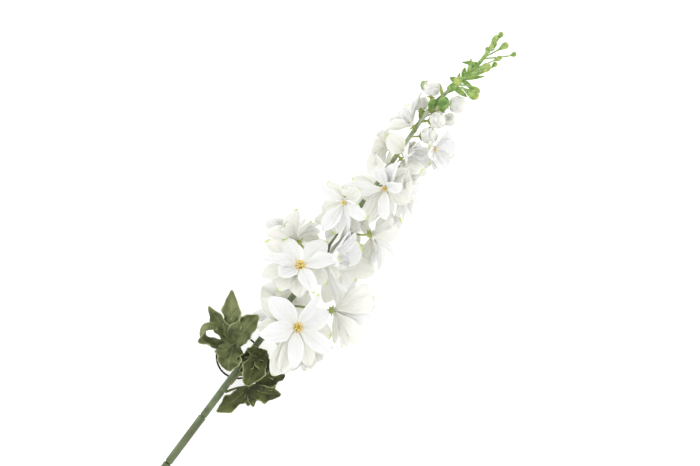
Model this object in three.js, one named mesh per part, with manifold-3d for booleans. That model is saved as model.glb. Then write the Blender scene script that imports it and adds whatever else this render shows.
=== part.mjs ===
// A white delphinium spray with fabric flowers on a moulded green stalk, lying on a table.
// Millimetres, +Z up. The stem runs along +X from its cut end to the tip of the spray.
import * as THREE from "three";
import { mergeVertices } from "three/addons/utils/BufferGeometryUtils.js";
import Module from "manifold-3d";

const wasm = await Module();
wasm.setup();

const radians = THREE.MathUtils.degToRad;

// Driving dimensions of the whole spray
const sprayLength = 600; // cut end to the topmost bud
const stemLean = radians(6.6); // the stem rises this much from its cut end
const bodyRadius = 3.45; // of the jointed lower stem
const jointStations = [0, 63, 125, 176]; // where one stem section ends and the next begins
const clearance = 0.35; // between a piece and its seat
const cutClearance = 0.45; // by which pieces that would cross are cut clear
const seamTolerance = 0.14; // seams between fused blades are smoothed by no more than this
const sideShift = 7.1; // brings the middle of the spray's width onto the X axis

// Joint between two stem sections: a spigot in a socket, over a wire core
const spigotRadius = 2.4;
const spigotLength = 5;
const neckGap = 1.2; // length of spigot that stays in sight
const socketRadius = spigotRadius + clearance;
const wireRadius = 1.05;
const wireBore = wireRadius + clearance;
const wireLength = 238;

// Stalk: its line in the stem's own frame, as distance from the cut end, side and height, with its radius
const stalkLine = [
  [jointStations[3], 0, 0, 3.1],
  [230, 0, 0, 2.9],
  [300, 0, 0, 2.6],
  [360, 0, 0, 2.3],
  [430, 0.3, 0, 2.1],
  [470, 1.6, 0.3, 1.9],
  [498, 2.5, 0.4, 1.8],
  [515, 2.0, 0.2, 1.7],
  [531, -1.2, -0.4, 1.6],
];

// Flower: petals in two whorls round a cup, which sits in a green calyx
const cupRadius = 3.6;
const cupHeight = 2.6;
const petalHalfThickness = 0.65;
const petalStations = [0, 0.32, 0.74]; // along its rib, where a petal has a cross-section
const hiddenStations = [0, 0.55]; // for the flowers that face down onto the table
const eyeRadius = 4.8;
const eyeHeight = 5.4;
const deepEye = 0.55; // share of that size in the flowers whose petals still close over it
const pedicelRadius = 1.05;

// Every flower, from bloom_01 up: calyx (distance from the cut end, side, height), the way it faces,
// petal length, petals in the inner and the outer whorl, how far the petals open and how far the first
// one is turned from the stem's direction, in degrees
const flowers = [
  [[289, -18.5, 17], [0.28, -0.21, 0.93], 37, 6, 6, 84, 77],
  [[331.4, 9, 9], [0.5, 0.38, 0.78], 37, 6, 5, 86, 1],
  [[402.6, 13.2, 12], [-0.5, 0.05, 0.86], 28.5, 5, 5, 78, 38],
  [[432, -9, 12], [-0.25, 0.33, 0.91], 33, 5, 5, 74, 50],
  [[482, -20, 7], [0.48, -0.64, 0.6], 20, 5, 5, 74, 30],
  [[466.5, -2, 13], [0.12, -0.8, 0.5], 25, 5, 4, 54, 75],
  [[461, 9, -3], [-0.4, 0.82, -0.3], 28, 5, 4, 74, 10],
  [[436, -17, -4], [0.31, -0.94, 0.1], 29, 5, 4, 66, 50],
  [[391, -22, 3], [0.5, -0.6, -0.5], 31, 5, 5, 74, 45],
  [[318, -35, 4], [0.38, -0.66, -0.62], 39, 6, 5, 76, 35],
  [[347, 25, -5], [0.12, 0.86, -0.42], 35, 6, 5, 78, 40],
  [[351, -5, 7], [0.52, -0.62, 0.5], 32, 5, 4, 52, 50],
  [[488, 6, 3], [0.14, 0.96, 0.1], 22, 4, 4, 48, 20],
  [[279, -33, -8], [-0.3, -0.72, -0.5], 31, 5, 4, 76, 30],
  [[290, -6, -10], [-0.45, 0.1, -0.85], 28, 4, 4, 76, 60],
  [[311, 1, -13], [-0.15, 0.5, -0.85], 28, 4, 4, 78, 60],
  [[352, -11, -16], [0.1, -0.3, -0.95], 34, 4, 4, 76, 120],
  [[386, 1, -13], [0.1, 0.4, -0.9], 26, 4, 4, 76, 5],
  [[424, -6, -13], [0.1, 0, -0.99], 25, 4, 4, 74, 30],
  [[459, -5, 7], [-0.28, -0.92, -0.15], 28, 5, 4, 62, 25],
].map(([at, face, reach, inner, outer, open, turn], k) => ({
  name: `bloom_${String(k + 1).padStart(2, "0")}`,
  at,
  face,
  reach,
  inner,
  outer,
  open,
  turn,
}));

// Petals of the flowers that are seen from above, from each flower's own axes: turn, length, width, how
// far the petal opens, and its twist where it stands on edge
const shapedPetals = {
  1: {
    inner: [
      [79, 42.2, 19, 76], [136, 43, 18, 72], [200, 39, 14.3, 76], [265, 35.9, 15.6, 80],
      [330, 30.1, 19, 82], [14, 40, 13, 54, 0.8],
    ],
    outer: [
      [87, 39.3, 19, 96], [187, 46, 20, 104], [197, 41.3, 19, 100], [235, 33.5, 14.7, 96],
      [291, 30.6, 19, 100], [122, 34, 20, 96],
    ],
  },
  2: {
    inner: [
      [79, 28, 13.8, 74], [132, 37.2, 13.8, 78], [174, 23, 17.3, 78], [245, 38.5, 14.7, 78],
      [309, 39, 17.3, 78], [357, 31, 19, 82],
    ],
    outer: [
      [91, 42, 17.3, 98], [149, 33.5, 15, 98], [185, 29, 15, 100], [225, 28.5, 19, 98],
      [280, 27, 15.6, 98],
    ],
  },
  3: {
    inner: [
      [76, 25.6, 12.1, 70], [181, 31.1, 13.8, 70], [216, 30.1, 15.6, 74], [288, 28.3, 13.8, 70],
      [325, 29, 12.1, 58, 0.7],
    ],
    outer: [
      [350, 22, 13.8, 86], [157, 24, 15.6, 90], [193, 33, 13.8, 90], [236, 27.7, 13.8, 90],
      [70, 21, 15.6, 88],
    ],
  },
  4: {
    inner: [
      [125, 37.2, 13, 66], [23, 30, 14, 50], [356, 36, 13, 66], [317, 36, 12.1, 58, 0.7],
      [231, 30, 13.8, 66],
    ],
    outer: [
      [142, 22, 13.8, 86], [54, 32.1, 15.6, 86], [337, 31.2, 15.6, 86], [285, 26, 15.6, 86],
      [180, 30.8, 15.6, 86],
    ],
  },
  5: {
    inner: [
      [311, 19.2, 16, 66], [357, 18.9, 12, 66], [244, 17.2, 12, 66], [188, 18.4, 14, 66],
      [127, 21.6, 12, 70],
    ],
    outer: [
      [286, 21.8, 15, 86], [242, 19.2, 15, 90], [200, 16, 13, 86], [96, 14, 12, 66], [325, 22.3, 15, 86],
    ],
  },
  6: {
    inner: [
      [35, 19.1, 13, 58], [282, 23.6, 14, 46], [227, 21.8, 12, 46], [98, 19.7, 13, 46], [330, 19, 14, 50],
    ],
    outer: [[81, 25, 17, 124], [253, 30, 13, 66], [275, 27, 12, 60], [63, 21.5, 16, 65]],
  },
  7: {
    inner: [
      [297, 18, 17, 66], [242, 18.7, 15, 66], [141, 27.5, 12, 82], [60, 27.5, 11, 86], [29, 21.7, 9, 70],
    ],
    outer: [[264, 29.4, 17, 82], [229, 24.3, 15, 86], [313, 16.2, 15, 86], [119, 33.4, 12, 86]],
  },
  8: {
    inner: [
      [119, 35.2, 12, 58], [184, 27.1, 13, 74], [281, 22.2, 9, 58], [215, 24, 13, 70], [46, 21.8, 11, 78],
    ],
    outer: [[231, 36.5, 13, 74], [257, 36, 13, 70], [133, 30.1, 13, 78], [286, 29.3, 11, 74]],
  },
  9: {
    inner: [
      [42, 30.8, 19, 66], [187, 36.8, 9, 94], [176, 35.3, 13, 78], [125, 26, 11, 66], [352, 18.4, 13, 66],
    ],
    outer: [
      [60, 35.4, 17, 86], [192, 30.1, 11, 78], [258, 37.4, 15, 86], [206, 39.9, 15, 86],
      [36, 32.1, 15, 82],
    ],
  },
  10: {
    inner: [
      [326, 39, 21, 120], [350, 33.1, 8, 64], [55, 38.3, 20, 68], [75, 33.6, 18, 72], [106, 28, 15, 68],
      [173, 36.4, 16, 64],
    ],
    outer: [
      [31, 44.5, 17, 88], [45, 46.6, 18, 84], [104, 44, 18, 88], [152, 27, 13, 92], [122, 33.3, 13, 88],
    ],
  },
  11: {
    inner: [
      [269, 39.5, 17, 70], [275, 29.3, 13, 70], [324, 28.4, 15, 70], [60, 34.8, 13, 58],
      [60, 40.7, 9, 82], [68, 40, 11, 90],
    ],
    outer: [
      [263, 42, 17, 90], [283, 34.9, 13, 90], [346, 20.2, 13, 94], [297, 38.1, 15, 86], [75, 34, 12, 90],
    ],
  },
  12: {
    inner: [
      [321, 30.3, 23, 44], [4, 33.8, 14, 44], [276, 17.1, 16, 44], [22, 34, 14, 48], [102, 30, 15, 36],
    ],
    outer: [[335, 34.4, 18, 64], [295, 28.6, 20, 60], [183, 18.9, 14, 56], [15, 36, 16, 62]],
  },
  13: {
    inner: [[242, 21.9, 18, 40], [355, 18.9, 13, 48], [15, 27.7, 10, 68], [293, 21.1, 13, 40]],
    outer: [[225, 25.4, 16, 60], [95, 28.3, 16, 60], [33, 25.1, 11, 60], [67, 24.3, 14, 60]],
  },
  14: {
    inner: [
      [86, 22.9, 12, 78], [127, 26, 12, 82], [164, 26.4, 13, 82], [208, 35.3, 14.8, 82], [45, 24, 12, 78],
    ],
    outer: [[194, 30.6, 13, 86], [112, 27, 13, 86], [60, 25, 13, 82], [160, 24, 13, 86]],
  },
  20: {
    inner: [
      [75, 24.8, 15, 54], [95, 27.2, 9, 54], [272, 23.4, 14, 58], [239, 23.1, 11, 82],
      [301, 16.3, 10, 70],
    ],
    outer: [[110, 37.5, 11, 54], [125, 33.1, 13, 74], [68, 30.9, 13, 74], [241, 34, 11, 78]],
  },
};

// White buds that are still closed: calyx, the way they point, and their radius
const whiteBuds = [
  { name: "bud_1", at: [518.5, 8.5, 3], face: [0.86, 0.5, 0.15], radius: 7.3 },
  { name: "bud_2", at: [521.5, -8.8, 0], face: [0.6, -0.79, 0.1], radius: 7.6 },
  { name: "bud_3", at: [501, -4.5, 8], face: [0.66, -0.66, 0.35], radius: 7.2 },
  { name: "bud_4", at: [486, -6, 8], face: [0.66, -0.7, 0.25], radius: 7.2 },
  { name: "bud_5", at: [507, -13, -4], face: [0.7, -0.7, -0.15], radius: 5.6 },
  { name: "bud_6", at: [503, 7, -5], face: [0.6, 0.7, -0.35], radius: 6.2 },
  { name: "bud_7", at: [508, -2, -8], face: [0.6, -0.1, -0.8], radius: 6.4 },
];

// Leaves: hub, the way the blade faces, where the petiole leaves the stalk, and the lobes as
// turn from the stem's direction, length, width, the rib's angle at root and tip, and where they differ
// from the others also how deep it is folded and how far it leans to one side
const leaves = [
  {
    name: "leaf_upper", hub: [244.5, 16.5, 9], face: [-0.1, 0.25, 0.96], root: [230, 2.6, 2.2],
    lobes: [
      [39, 48, 17, 82, 96], [28, 32, 12, 80, 98], [73, 41, 15, 84, 96],
      [146, 57, 20, 84, -186, 0.1, 50], [-7, 36, 22, 76, 104, 0.5], [-156, 27, 24, 80, 110],
    ],
  },
  {
    name: "leaf_front", hub: [250.9, -4.8, 10], face: [0.1, -0.3, 0.94], root: [213, -2.6, 1.2],
    lobes: [
      [-162, 33, 21, 78, 104, 0.75], [-86, 12, 11, 60, 100], [-124, 23, 14, 70, 110],
      [173, 25, 11, 84, 108], [143, 22, 10, 80, 108], [103, 14, 9, 66, 84],
    ],
  },
  {
    name: "leaf_lower", hub: [218.9, -17.3, -5], face: [-0.1, -0.45, 0.9], root: [204, -2.8, -1.4],
    lobes: [
      [-72, 32, 16, 82, 106], [-127, 22, 8, 88, 108], [-96, 24, 9, 90, 104],
      [162, 37, 16, 84, 104], [-142, 20, 10, 90, 104],
    ],
  },
  {
    name: "leaf_back", hub: [229.2, -18.1, -6], face: [0.15, -0.4, 0.9], root: [222, -2.2, -2.2],
    lobes: [[-54, 28, 15, 84, 104], [-84, 22, 12, 88, 108]],
  },
];

// Outline of a leaf lobe: stations along its rib with the share of its full half width there
const lobeOutline = [[0, 0.5], [0.22, 0.8], [0.5, 1], [0.78, 0.68]];

// Ring of black cord looped round the stalk
const loopRadius = 18.7;
const loopCord = 0.9;
const loopCentre = [235, 6.5, -4.3];

// Green pieces: closed buds of the stalk as calyx, direction, radius and length
const stalkBuds = [
  [[514, -6.2, 4], [0.83, 0.3, 0.47], 5.3, 14.5],
  [[509, 1.6, 2.5], [0.86, 0.28, 0.43], 4, 11.6],
  [[519.6, 12.3, -1], [0.39, 0.88, 0.26], 4.2, 11.5],
];

// Tip of the spray: its line, then buds as foot on the line, bud's base, direction, radius and length
const tipLine = [
  [531.3, -1.3, -0.4, 2.6],
  [535, -2, -0.6, 3.1],
  [541, -3.3, -1, 2.5],
  [551, -5.6, -1.6, 1.9],
  [568, -8, -2.6, 1.5],
  [580, -7.8, -3, 1.2],
  [588, -7.4, -3.2, 1],
];
const tipBuds = [
  [0.98, [590.4, -8.9, -3.2], [0.98, 0.15, 0.09], 2.5, 8.6],
  [0.9, [581.2, -6.6, -3], [1, 0, 0.02], 2.9, 13],
  [0.85, [581.2, -11.3, -6], [0.93, 0.35, -0.13], 1.5, 7.6],
  [0.8, [577.7, -9.5, 0], [0.97, 0.2, 0.12], 1.7, 8.2],
  [0.72, [582.7, -13.6, -2.6], [0.93, -0.36, 0.08], 3.1, 12.3],
  [0.7, [584.9, -24.3, -4.5], [0.82, -0.57, 0], 2.3, 7.7],
  [0.56, [572.7, -15.7, -2], [0.88, -0.47, 0.1], 2.3, 10.1],
  [0.46, [557.8, -8.8, 1.2], [0.8, -0.58, 0.13], 4.1, 15.1],
  [0.54, [567.1, -18.5, -7], [0.97, -0.18, -0.13], 2.4, 7.6],
  [0.14, [539.6, -7.7, -0.4], [0.08, -1, -0.06], 4.4, 17.8],
  [0.16, [542.9, -8.3, -4.6], [0.15, -0.99, -0.06], 3, 15.6],
  [0.24, [541, -3, 3.6], [0.35, 0.1, 0.95], 3.9, 7],
  [0.4, [549, -7, -6.6], [0.4, -0.2, -0.9], 3.4, 9],
  [0.66, [575, -7, -7.6], [0.7, 0.1, -0.7], 2.2, 7],
];
// Bracts: narrow leaves at the foot of the buds, as base, direction, length and width
const bracts = [
  [[541.8, -3.4, -0.6], [-0.11, 0.97, 0.22], 9.1, 5.4],
  [[547.1, -4.8, -1], [0.87, 0.48, 0.1], 9.7, 4.6],
  [[551.2, -6.6, 0], [0.89, 0.42, 0.15], 16.2, 3],
  [[564.8, -8.3, -1.6], [-0.5, 0.86, 0.09], 15.2, 3.4],
  [[559, -7.1, -1.8], [0.31, 0.94, -0.12], 8.4, 3.2],
  [[549.4, -5.8, -1], [0.78, -0.62, 0.06], 17.5, 3.2],
  [[546.6, -5.7, -2], [0.71, -0.71, 0], 18.3, 3.2],
  [[544.7, -4.5, -0.4], [0.1, -0.99, 0.09], 11.6, 3.8],
  [[535.9, -2.9, -1], [0, -0.99, -0.11], 14, 5],
  [[536.3, -2.7, -0.5], [-0.99, 0.1, 0], 7.6, 3.2],
  [[541, -3.4, -2.6], [0.5, 0.3, -0.8], 11, 3],
];
const stalkBracts = [
  [[522, -2.4, 8.5], [0.69, 0.71, 0.1], 14.4, 2.8],
  [[449, -1.6, 1], [-0.9, 0.25, 0.35], 12, 4.4],
  [[496, 4, -1.6], [0.8, 0.5, -0.2], 10, 3],
];

// Materials
const leafGreen = new THREE.MeshStandardMaterial({ color: "#566b39", roughness: 0.75 });
const stemGreen = new THREE.MeshStandardMaterial({ color: "#7f9270", roughness: 0.5 });
const stalkGreen = new THREE.MeshStandardMaterial({ color: "#6b7d45", roughness: 0.5 });
const budGreen = new THREE.MeshStandardMaterial({ color: "#9fbd58", roughness: 0.55 });
const petalWhite = new THREE.MeshStandardMaterial({ color: "#f5f5f2", roughness: 0.8 });
const eyeYellow = new THREE.MeshStandardMaterial({ color: "#e8a92c", roughness: 0.7 });
const wireGrey = new THREE.MeshStandardMaterial({ color: "#8d8f8c", roughness: 0.4, metalness: 0.8 });
const cordBlack = new THREE.MeshStandardMaterial({ color: "#15151a", roughness: 0.6 });

const vector = (p) => new THREE.Vector3(p[0], p[1], p[2]);

// A repeatable number from 0 to 1 for item number `item` of piece number `seed`.
function vary(seed, item) {
  const v = Math.sin(seed * 12.9898 + item * 78.233) * 43758.5453;
  return v - Math.floor(v);
}

// The table top as a plane in the stem's frame: height above it is x sin(lean) + z cos(lean) + foot.
const footHeight = bodyRadius * Math.cos(stemLean);
const tableNormal = new THREE.Vector3(Math.sin(stemLean), 0, Math.cos(stemLean));
const heightOf = (p) => p.dot(tableNormal) + footHeight;

// Bends a point that would sink into the table so that it comes to lie on it.
function layOnTable(p) {
  const softness = 4;
  const rest = petalHalfThickness + 0.1;
  const height = heightOf(p) - rest;
  if (height >= softness) return p;
  const bent = softness * Math.exp(height / softness - 1);
  return p.addScaledVector(tableNormal, bent - height);
}

// A closed three.js geometry as a solid that booleans can work on.
function solidOf(geometry, weld = 1e-4) {
  const bare = new THREE.BufferGeometry().setAttribute("position", geometry.getAttribute("position"));
  if (geometry.index) bare.setIndex(geometry.index);
  const merged = mergeVertices(bare, weld);
  const faces = [];
  for (let i = 0; i < merged.index.count; i += 3) {
    const [a, b, c] = [0, 1, 2].map((k) => merged.index.getX(i + k));
    if (a !== b && b !== c && c !== a) faces.push(a, b, c);
  }
  const build = (triVerts) =>
    new wasm.Manifold(
      new wasm.Mesh({ numProp: 3, vertProperties: merged.attributes.position.array, triVerts }),
    );
  const made = build(new Uint32Array(faces));
  return made.volume() > 0 ? made : build(new Uint32Array(faces.reverse()));
}

// A solid as a three.js geometry.
function geometryOf(solid) {
  const mesh = solid.getMesh();
  const points = new Float32Array(mesh.numVert * 3);
  for (let i = 0; i < mesh.numVert; i++) {
    points.set(mesh.vertProperties.subarray(i * mesh.numProp, i * mesh.numProp + 3), i * 3);
  }
  const geometry = new THREE.BufferGeometry()
    .setAttribute("position", new THREE.BufferAttribute(points, 3))
    .setIndex(new THREE.BufferAttribute(mesh.triVerts, 1));
  geometry.computeVertexNormals();
  return geometry;
}

// Joins rings of points, all with the same count, into one closed skin. A ring of one point is a tip.
function skinOf(rings) {
  const points = [];
  const faces = [];
  const starts = rings.map((ring) => {
    const start = points.length / 3;
    ring.forEach((p) => points.push(p.x, p.y, p.z));
    return start;
  });
  for (let i = 0; i + 1 < rings.length; i++) {
    const [a, b] = [rings[i], rings[i + 1]];
    const count = Math.max(a.length, b.length);
    for (let k = 0; k < count; k++) {
      const next = (k + 1) % count;
      const [a0, a1] = a.length > 1 ? [starts[i] + k, starts[i] + next] : [starts[i], starts[i]];
      const above = starts[i + 1];
      const [b0, b1] = b.length > 1 ? [above + k, above + next] : [above, above];
      if (a0 !== a1) faces.push(a0, a1, b1);
      if (b0 !== b1) faces.push(a0, b1, b0);
    }
  }
  const cap = (ring, start, flip) => {
    for (let k = 1; k + 1 < ring.length; k++) {
      const [p, q, r] = [start, start + k, start + k + 1];
      faces.push(...(flip ? [p, r, q] : [p, q, r]));
    }
  };
  cap(rings[0], starts[0], true);
  cap(rings[rings.length - 1], starts[rings.length - 1], false);
  return new THREE.BufferGeometry()
    .setAttribute("position", new THREE.Float32BufferAttribute(points, 3))
    .setIndex(faces);
}

// A round bar of changing radius along a line of [x, y, z, radius] points, `grow` fatter all round.
function taperedBar(line, sides, steps, grow = 0) {
  const curve = new THREE.CatmullRomCurve3(line.map(vector));
  const frames = curve.computeFrenetFrames(steps);
  const rings = [];
  for (let i = 0; i <= steps; i++) {
    const u = i / steps;
    const centre = curve.getPointAt(u);
    const place = curve.getUtoTmapping(u) * (line.length - 1);
    const before = Math.min(Math.floor(place), line.length - 2);
    const radius = THREE.MathUtils.lerp(line[before][3], line[before + 1][3], place - before) + grow;
    rings.push(
      Array.from({ length: sides }, (_, k) => {
        const turn = (2 * Math.PI * k) / sides;
        return centre
          .clone()
          .addScaledVector(frames.normals[i], Math.cos(turn) * radius)
          .addScaledVector(frames.binormals[i], Math.sin(turn) * radius);
      }),
    );
  }
  return solidOf(skinOf(rings));
}

// Axes of a piece that faces along `face`: its first axis leans towards the tip of the spray.
function axesOf(face) {
  const up = vector(face).normalize();
  const towardsTip = Math.abs(up.x) > 0.95 ? new THREE.Vector3(0, 0, 1) : new THREE.Vector3(1, 0, 0);
  const first = towardsTip.addScaledVector(up, -towardsTip.dot(up)).normalize();
  return { up, first, second: new THREE.Vector3().crossVectors(up, first) };
}

// Half width of a petal along its rib, as a share of its full half width: narrow foot, round shoulder,
// blunt point.
function petalOutline(s) {
  const rise = Math.min(s / 0.5, 1);
  const shoulder = 0.18 + 0.82 * rise * rise * (3 - 2 * rise);
  const past = Math.max(0, (s - 0.6) / 0.4);
  return shoulder * Math.pow(Math.max(0, 1 - Math.pow(past, 2.4)), 0.85);
}

// The middle surface of one blade that grows from a hub, by s along its rib and t from edge to edge.
// `angleAt` is the rib's angle from the hub's axis, the cross-section is a trough of depth `cup`,
// the blade turns by `twist` about its rib, its tip bends sideways by `sway`, and all of it may `lean`
// to one side about the direction that it grows in.
function bladeSurface(hub, blade) {
  const steps = 24;
  const line = [{ r: blade.rootRadius, z: blade.rootHeight }];
  for (let i = 1; i <= steps; i++) {
    const s = (i - 0.5) / steps;
    const angle = blade.angleAt(s);
    const last = line[line.length - 1];
    const ds = blade.length / steps;
    line.push({ r: last.r + Math.sin(angle) * ds, z: last.z + Math.cos(angle) * ds });
  }
  const outward = hub.axes.first
    .clone()
    .multiplyScalar(Math.cos(blade.turn))
    .addScaledVector(hub.axes.second, Math.sin(blade.turn));
  const up = hub.axes.up.clone().applyAxisAngle(outward, blade.lean ?? 0);
  const across = new THREE.Vector3().crossVectors(up, outward);
  return (s, t) => {
    const place = Math.min(Math.max(s, 0), 1) * steps;
    const before = Math.min(Math.floor(place), steps - 1);
    const share = place - before;
    const r = THREE.MathUtils.lerp(line[before].r, line[before + 1].r, share);
    const z = THREE.MathUtils.lerp(line[before].z, line[before + 1].z, share);
    const angle = blade.angleAt(s);
    const inward = up
      .clone()
      .multiplyScalar(Math.sin(angle))
      .addScaledVector(outward, -Math.cos(angle));
    const twist = blade.twist * s;
    const side = across.clone().multiplyScalar(Math.cos(twist)).addScaledVector(inward, Math.sin(twist));
    const lift = inward.multiplyScalar(Math.cos(twist)).addScaledVector(across, -Math.sin(twist));
    const half = blade.halfWidthAt(s);
    const point = hub.at
      .clone()
      .addScaledVector(outward, r)
      .addScaledVector(up, z)
      .addScaledVector(side, half * t + blade.sway * blade.length * s * s)
      .addScaledVector(lift, blade.cup * half * t * t);
    return layOnTable(point);
  };
}

// A thin blade, thickest along its rib. With `grow` it is fatter and wider all round, to cut clearance.
function bladeSolid(surface, stations, grow = 0) {
  const half = petalHalfThickness + grow;
  const near = 0.02;
  const normalAt = (s) => {
    const along = surface(s + near, 0).sub(surface(s - near, 0));
    const over = surface(s, 0.3).sub(surface(s, -0.3));
    return over.cross(along).normalize().negate();
  };
  const rings = stations.map((s) => {
    const [left, middle, right] = [surface(s, -1), surface(s, 0), surface(s, 1)];
    const normal = normalAt(s);
    const wide = right.clone().sub(left).normalize();
    left.addScaledVector(wide, -grow);
    right.addScaledVector(wide, grow);
    const above = middle.clone().addScaledVector(normal, half);
    const below = middle.clone().addScaledVector(normal, -half);
    if (!grow) return [left, below, right, above];
    const edge = (p, side) => p.clone().addScaledVector(normal, side * grow);
    return [edge(left, 1), edge(left, -1), below, edge(right, -1), edge(right, 1), above];
  });
  const tip = surface(1, 0);
  tip.addScaledVector(tip.clone().sub(surface(0.9, 0)).normalize(), 2 * grow);
  return solidOf(skinOf([...rings, [tip]]));
}

// All petals of a flower, as blades: the inner whorl stands above the outer one.
function petalsOf(flower, seed) {
  const shaped = shapedPetals[seed] ?? {};
  const inner = { count: flower.inner, first: 0, offset: 0, length: 0.97, width: 0.49, open: -8 };
  const outer = { count: flower.outer, first: 20, offset: 0.5, length: 1.05, width: 0.6, open: 12 };
  Object.assign(inner, { own: shaped.inner });
  Object.assign(outer, { own: shaped.outer });
  Object.assign(inner, { rootRadius: 1.7, rootHeight: 2, rootAngle: 30 });
  Object.assign(outer, { rootRadius: 2.2, rootHeight: 0.9, rootAngle: 56 });
  return [inner, outer].flatMap((whorl) =>
    Array.from({ length: whorl.count }, (_, k) => {
      const draw = (n) => vary(seed, (whorl.first + k) * 7 + n) * 2 - 1;
      const [turn, length, width, opened, twist = 0] = whorl.own?.[k] ?? [
        flower.turn + 5 * draw(4) + (360 * (k + whorl.offset)) / whorl.count,
        flower.reach * whorl.length * (1 + 0.07 * draw(5)),
        flower.reach * whorl.width * (1 + 0.08 * draw(3)),
        flower.open + whorl.open + 5 * draw(1),
      ];
      const [rootAngle, open] = [radians(whorl.rootAngle), radians(opened)];
      const curl = radians(12 * draw(2));
      const half = width / 2;
      return {
        turn: radians(turn),
        length,
        rootRadius: whorl.rootRadius,
        rootHeight: whorl.rootHeight,
        angleAt: (s) => open - (open - rootAngle) * Math.exp(-s / 0.16) + curl * s * s,
        halfWidthAt: (s) => half * petalOutline(s),
        cup: 0.26 + 0.1 * draw(6),
        twist: twist + 0.14 * draw(7),
        sway: 0.05 * draw(8),
      };
    }),
  );
}

// One flower's petals, joined to the small cup that holds them.
function flowerSolid(flower, seed, grow = 0) {
  const hub = { at: vector(flower.at), axes: axesOf(flower.face) };
  const stations = flower.face[2] < -0.8 ? hiddenStations : petalStations;
  const blades = petalsOf(flower, seed).map((petal) =>
    bladeSolid(bladeSurface(hub, petal), stations, grow),
  );
  const rings = [
    [clearance + grow, 2.4, 2.4],
    [cupHeight, cupRadius, cupRadius],
  ];
  return wasm.Manifold.union([rosette(flower.at, flower.face, 6, rings, grow), ...blades]);
}

// A round piece on a hub: rings given as [height, radius on the even corners, radius on the odd ones].
function rosette(at, face, corners, rings, grow = 0) {
  const hub = { at: vector(at), axes: axesOf(face) };
  const last = rings.length - 1;
  return solidOf(
    skinOf(
      rings.map(([height, even, odd], level) => {
        const rise = height + (level === 0 ? -grow : 0) + (level === last ? grow : 0);
        const centre = hub.at.clone().addScaledVector(hub.axes.up, rise);
        if (even === 0) return [centre];
        return Array.from({ length: corners }, (_, k) => {
          const turn = (2 * Math.PI * k) / corners;
          const radius = (k % 2 ? odd : even) + grow;
          return centre
            .clone()
            .addScaledVector(hub.axes.first, Math.cos(turn) * radius)
            .addScaledVector(hub.axes.second, Math.sin(turn) * radius);
        });
      }),
    ),
  );
}

// The stamens of a flower: a button whose rim swells into a ring of anthers.
function eyeSolid(flower, grow = 0) {
  const scale = Math.min(1, flower.reach / 30) * (flower.reach > 36 ? 1 : deepEye);
  const base = cupHeight + clearance;
  const rings = [
    [base, 2.2, 2.2],
    [eyeHeight, eyeRadius, 3.6],
    [eyeHeight + 1.6, 3.8, 2.6],
    [eyeHeight + 1.2, 0, 0],
  ].map(([z, even, odd]) => [base + (z - base) * scale, even * scale, odd * scale]);
  return rosette(flower.at, flower.face, 8, rings, grow);
}

// A calyx: a small cone with five pointed sepals that spread under the flower.
const calyxSolid = (at, face, size, grow = 0) =>
  rosette(
    at,
    face,
    10,
    [[-3.4, 0, 0], [-0.9, 5.9, 2.1], [0, 0, 0]].map((ring) => ring.map((v) => v * size)),
    grow,
  );

// A flower stalk: leaves the line below the flower and bends up into the calyx.
function pedicelSolid(at, face, size, grow = 0) {
  const up = vector(face).normalize();
  const end = vector(at).addScaledVector(up, -2 * size);
  const away = Math.hypot(at[1], at[2]);
  const start = pointOnStalk(at[0] - 6 - 0.45 * away);
  const knee = end.clone().addScaledVector(up, -0.45 * away - 2);
  const curve = new THREE.CubicBezierCurve3(
    start,
    start.clone().lerp(knee, 0.6).add(new THREE.Vector3(3, 0, 0)),
    knee,
    end,
  );
  const line = [0, 0.33, 0.66, 1].map((u) => [...curve.getPoint(u).toArray(), pedicelRadius * size]);
  return taperedBar(line, 4, 2, grow);
}

// The middle of the stalk at a distance from the cut end.
function pointOnStalk(x) {
  const after = Math.max(1, stalkLine.findIndex((p) => p[0] > x));
  const [a, b] = [stalkLine[after - 1], stalkLine[after]];
  return vector(a).lerp(vector(b), (x - a[0]) / (b[0] - a[0]));
}

// A closed bud: a club with a few flat faces, blunt at its head.
const clubSolid = (at, face, radius, length, grow = 0) =>
  rosette(
    at,
    face,
    5,
    [[0, 0, 0], [0.3, 0.72, 0.72], [0.74, 1, 1], [1, 0.4, 0.4]].map(([z, even, odd]) => [
      z * length,
      even * radius,
      odd * radius,
    ]),
    grow,
  );

// A narrow pointed bract.
function bractSolid([at, direction, length, width], grow = 0) {
  const along = vector(direction).normalize();
  const side = new THREE.Vector3(0, 0, 1).cross(along).normalize();
  const normal = along.clone().cross(side);
  const surface = (s, t) =>
    vector(at)
      .addScaledVector(along, s * length)
      .addScaledVector(side, (t * width * Math.sin(Math.PI * Math.min(0.15 + 0.85 * s, 1))) / 2)
      .addScaledVector(normal, 0.12 * length * s * s + 0.2 * width * t * t);
  return bladeSolid(surface, [0, 0.5], grow);
}

// A white bud: a round drop whose side is pressed into overlapping petals.
const whiteBudSolid = (bud, grow = 0) =>
  rosette(
    bud.at,
    bud.face,
    8,
    [[0, 0.4, 0.4], [0.4, 0.86, 0.8], [0.95, 1.03, 0.93], [1.5, 0.86, 0.74], [1.92, 0, 0]].map(
      ([z, even, odd], level) => [level ? z * bud.radius : clearance, even * bud.radius, odd * bud.radius],
    ),
    grow,
  );

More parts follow.
